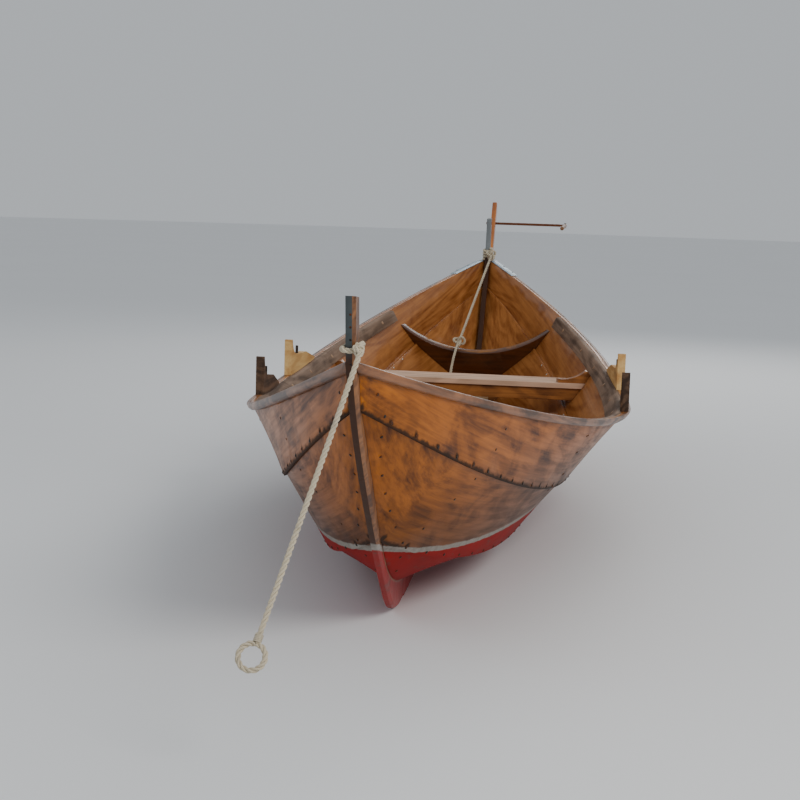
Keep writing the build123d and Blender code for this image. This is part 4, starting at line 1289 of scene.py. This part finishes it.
class BOAT_OT_painter(bpy.types.Operator):
    """Lay the painter with its hitch on the bow post and its eye"""

    bl_idname = "boat.painter"
    bl_label = "Painter"

    def execute(self, context):
        make_painter()
        return {"FINISHED"}


class BOAT_OT_stern_line(bpy.types.Operator):
    """Lay the stern line with its lashing, knots and coil"""

    bl_idname = "boat.stern_line"
    bl_label = "Stern line"

    def execute(self, context):
        make_stern_line()
        return {"FINISHED"}


class BOAT_OT_planking(bpy.types.Operator):
    """Varnish and paint the planking"""

    bl_idname = "boat.planking"
    bl_label = "Planking"

    def execute(self, context):
        finish_planking()
        return {"FINISHED"}


class BOAT_OT_backbone(bpy.types.Operator):
    """Finish the keel and the stems"""

    bl_idname = "boat.backbone"
    bl_label = "Keel and stems"

    def execute(self, context):
        finish_backbone()
        return {"FINISHED"}


class BOAT_OT_rails(bpy.types.Operator):
    """Finish the rails and drive their treenails"""

    bl_idname = "boat.rails"
    bl_label = "Rails"

    def execute(self, context):
        finish_rails()
        return {"FINISHED"}


class BOAT_OT_frames(bpy.types.Operator):
    """Finish the frames, floor timbers, crossbeams and knees"""

    bl_idname = "boat.frames"
    bl_label = "Frames"

    def execute(self, context):
        finish_frames()
        return {"FINISHED"}


class BOAT_OT_thwarts(bpy.types.Operator):
    """Finish the thwarts and the floorboards"""

    bl_idname = "boat.thwarts"
    bl_label = "Thwarts and floorboards"

    def execute(self, context):
        finish_thwarts()
        return {"FINISHED"}


class BOAT_OT_rowlocks(bpy.types.Operator):
    """Finish the rowlock blocks and their pegs"""

    bl_idname = "boat.rowlocks"
    bl_label = "Rowlocks"

    def execute(self, context):
        finish_rowlocks()
        return {"FINISHED"}


class BOAT_OT_steering(bpy.types.Operator):
    """Finish the rudder and the tiller"""

    bl_idname = "boat.steering"
    bl_label = "Rudder and tiller"

    def execute(self, context):
        finish_steering()
        return {"FINISHED"}


class BOAT_OT_ironwork(bpy.types.Operator):
    """Finish the ironwork and the fastenings"""

    bl_idname = "boat.ironwork"
    bl_label = "Ironwork"

    def execute(self, context):
        finish_ironwork()
        return {"FINISHED"}


class BOAT_OT_plug(bpy.types.Operator):
    """Finish the drain plug"""

    bl_idname = "boat.plug"
    bl_label = "Drain plug"

    def execute(self, context):
        finish_plug()
        return {"FINISHED"}


OPERATORS = (
    BOAT_OT_stage,
    BOAT_OT_painter,
    BOAT_OT_stern_line,
    BOAT_OT_planking,
    BOAT_OT_backbone,
    BOAT_OT_rails,
    BOAT_OT_frames,
    BOAT_OT_thwarts,
    BOAT_OT_rowlocks,
    BOAT_OT_steering,
    BOAT_OT_ironwork,
    BOAT_OT_plug,
)


class BOAT_PT_panel(bpy.types.Panel):
    """Lists the boat's settings and operators"""

    bl_idname = "BOAT_PT_panel"
    bl_label = "Clinker Rowing Boat"
    bl_space_type = "VIEW_3D"
    bl_region_type = "UI"
    bl_category = "Boat"

    def draw(self, context):
        for name, group in SETTINGS.items():
            made = getattr(context.scene, name)
            box = self.layout.box()
            for field in group.__annotations__:
                box.prop(made, field)
        for operator in OPERATORS:
            self.layout.operator(operator.bl_idname)


SETTINGS = {"boat_timber": BoatTimber, "boat_ropes": BoatRopes, "boat_stage": BoatStage}


def register():
    for kind in (*SETTINGS.values(), *OPERATORS, BOAT_PT_panel):
        bpy.utils.register_class(kind)
    for name, group in SETTINGS.items():
        setattr(bpy.types.Scene, name, bpy.props.PointerProperty(type=group))


def unregister():
    for name in SETTINGS:
        delattr(bpy.types.Scene, name)
    for kind in (BOAT_PT_panel, *reversed(OPERATORS), *SETTINGS.values()):
        bpy.utils.unregister_class(kind)


def main():
    register()
    for operator in OPERATORS:
        family, action = operator.bl_idname.split(".")
        getattr(getattr(bpy.ops, family), action)()


if __name__ == "__main__":
    main()
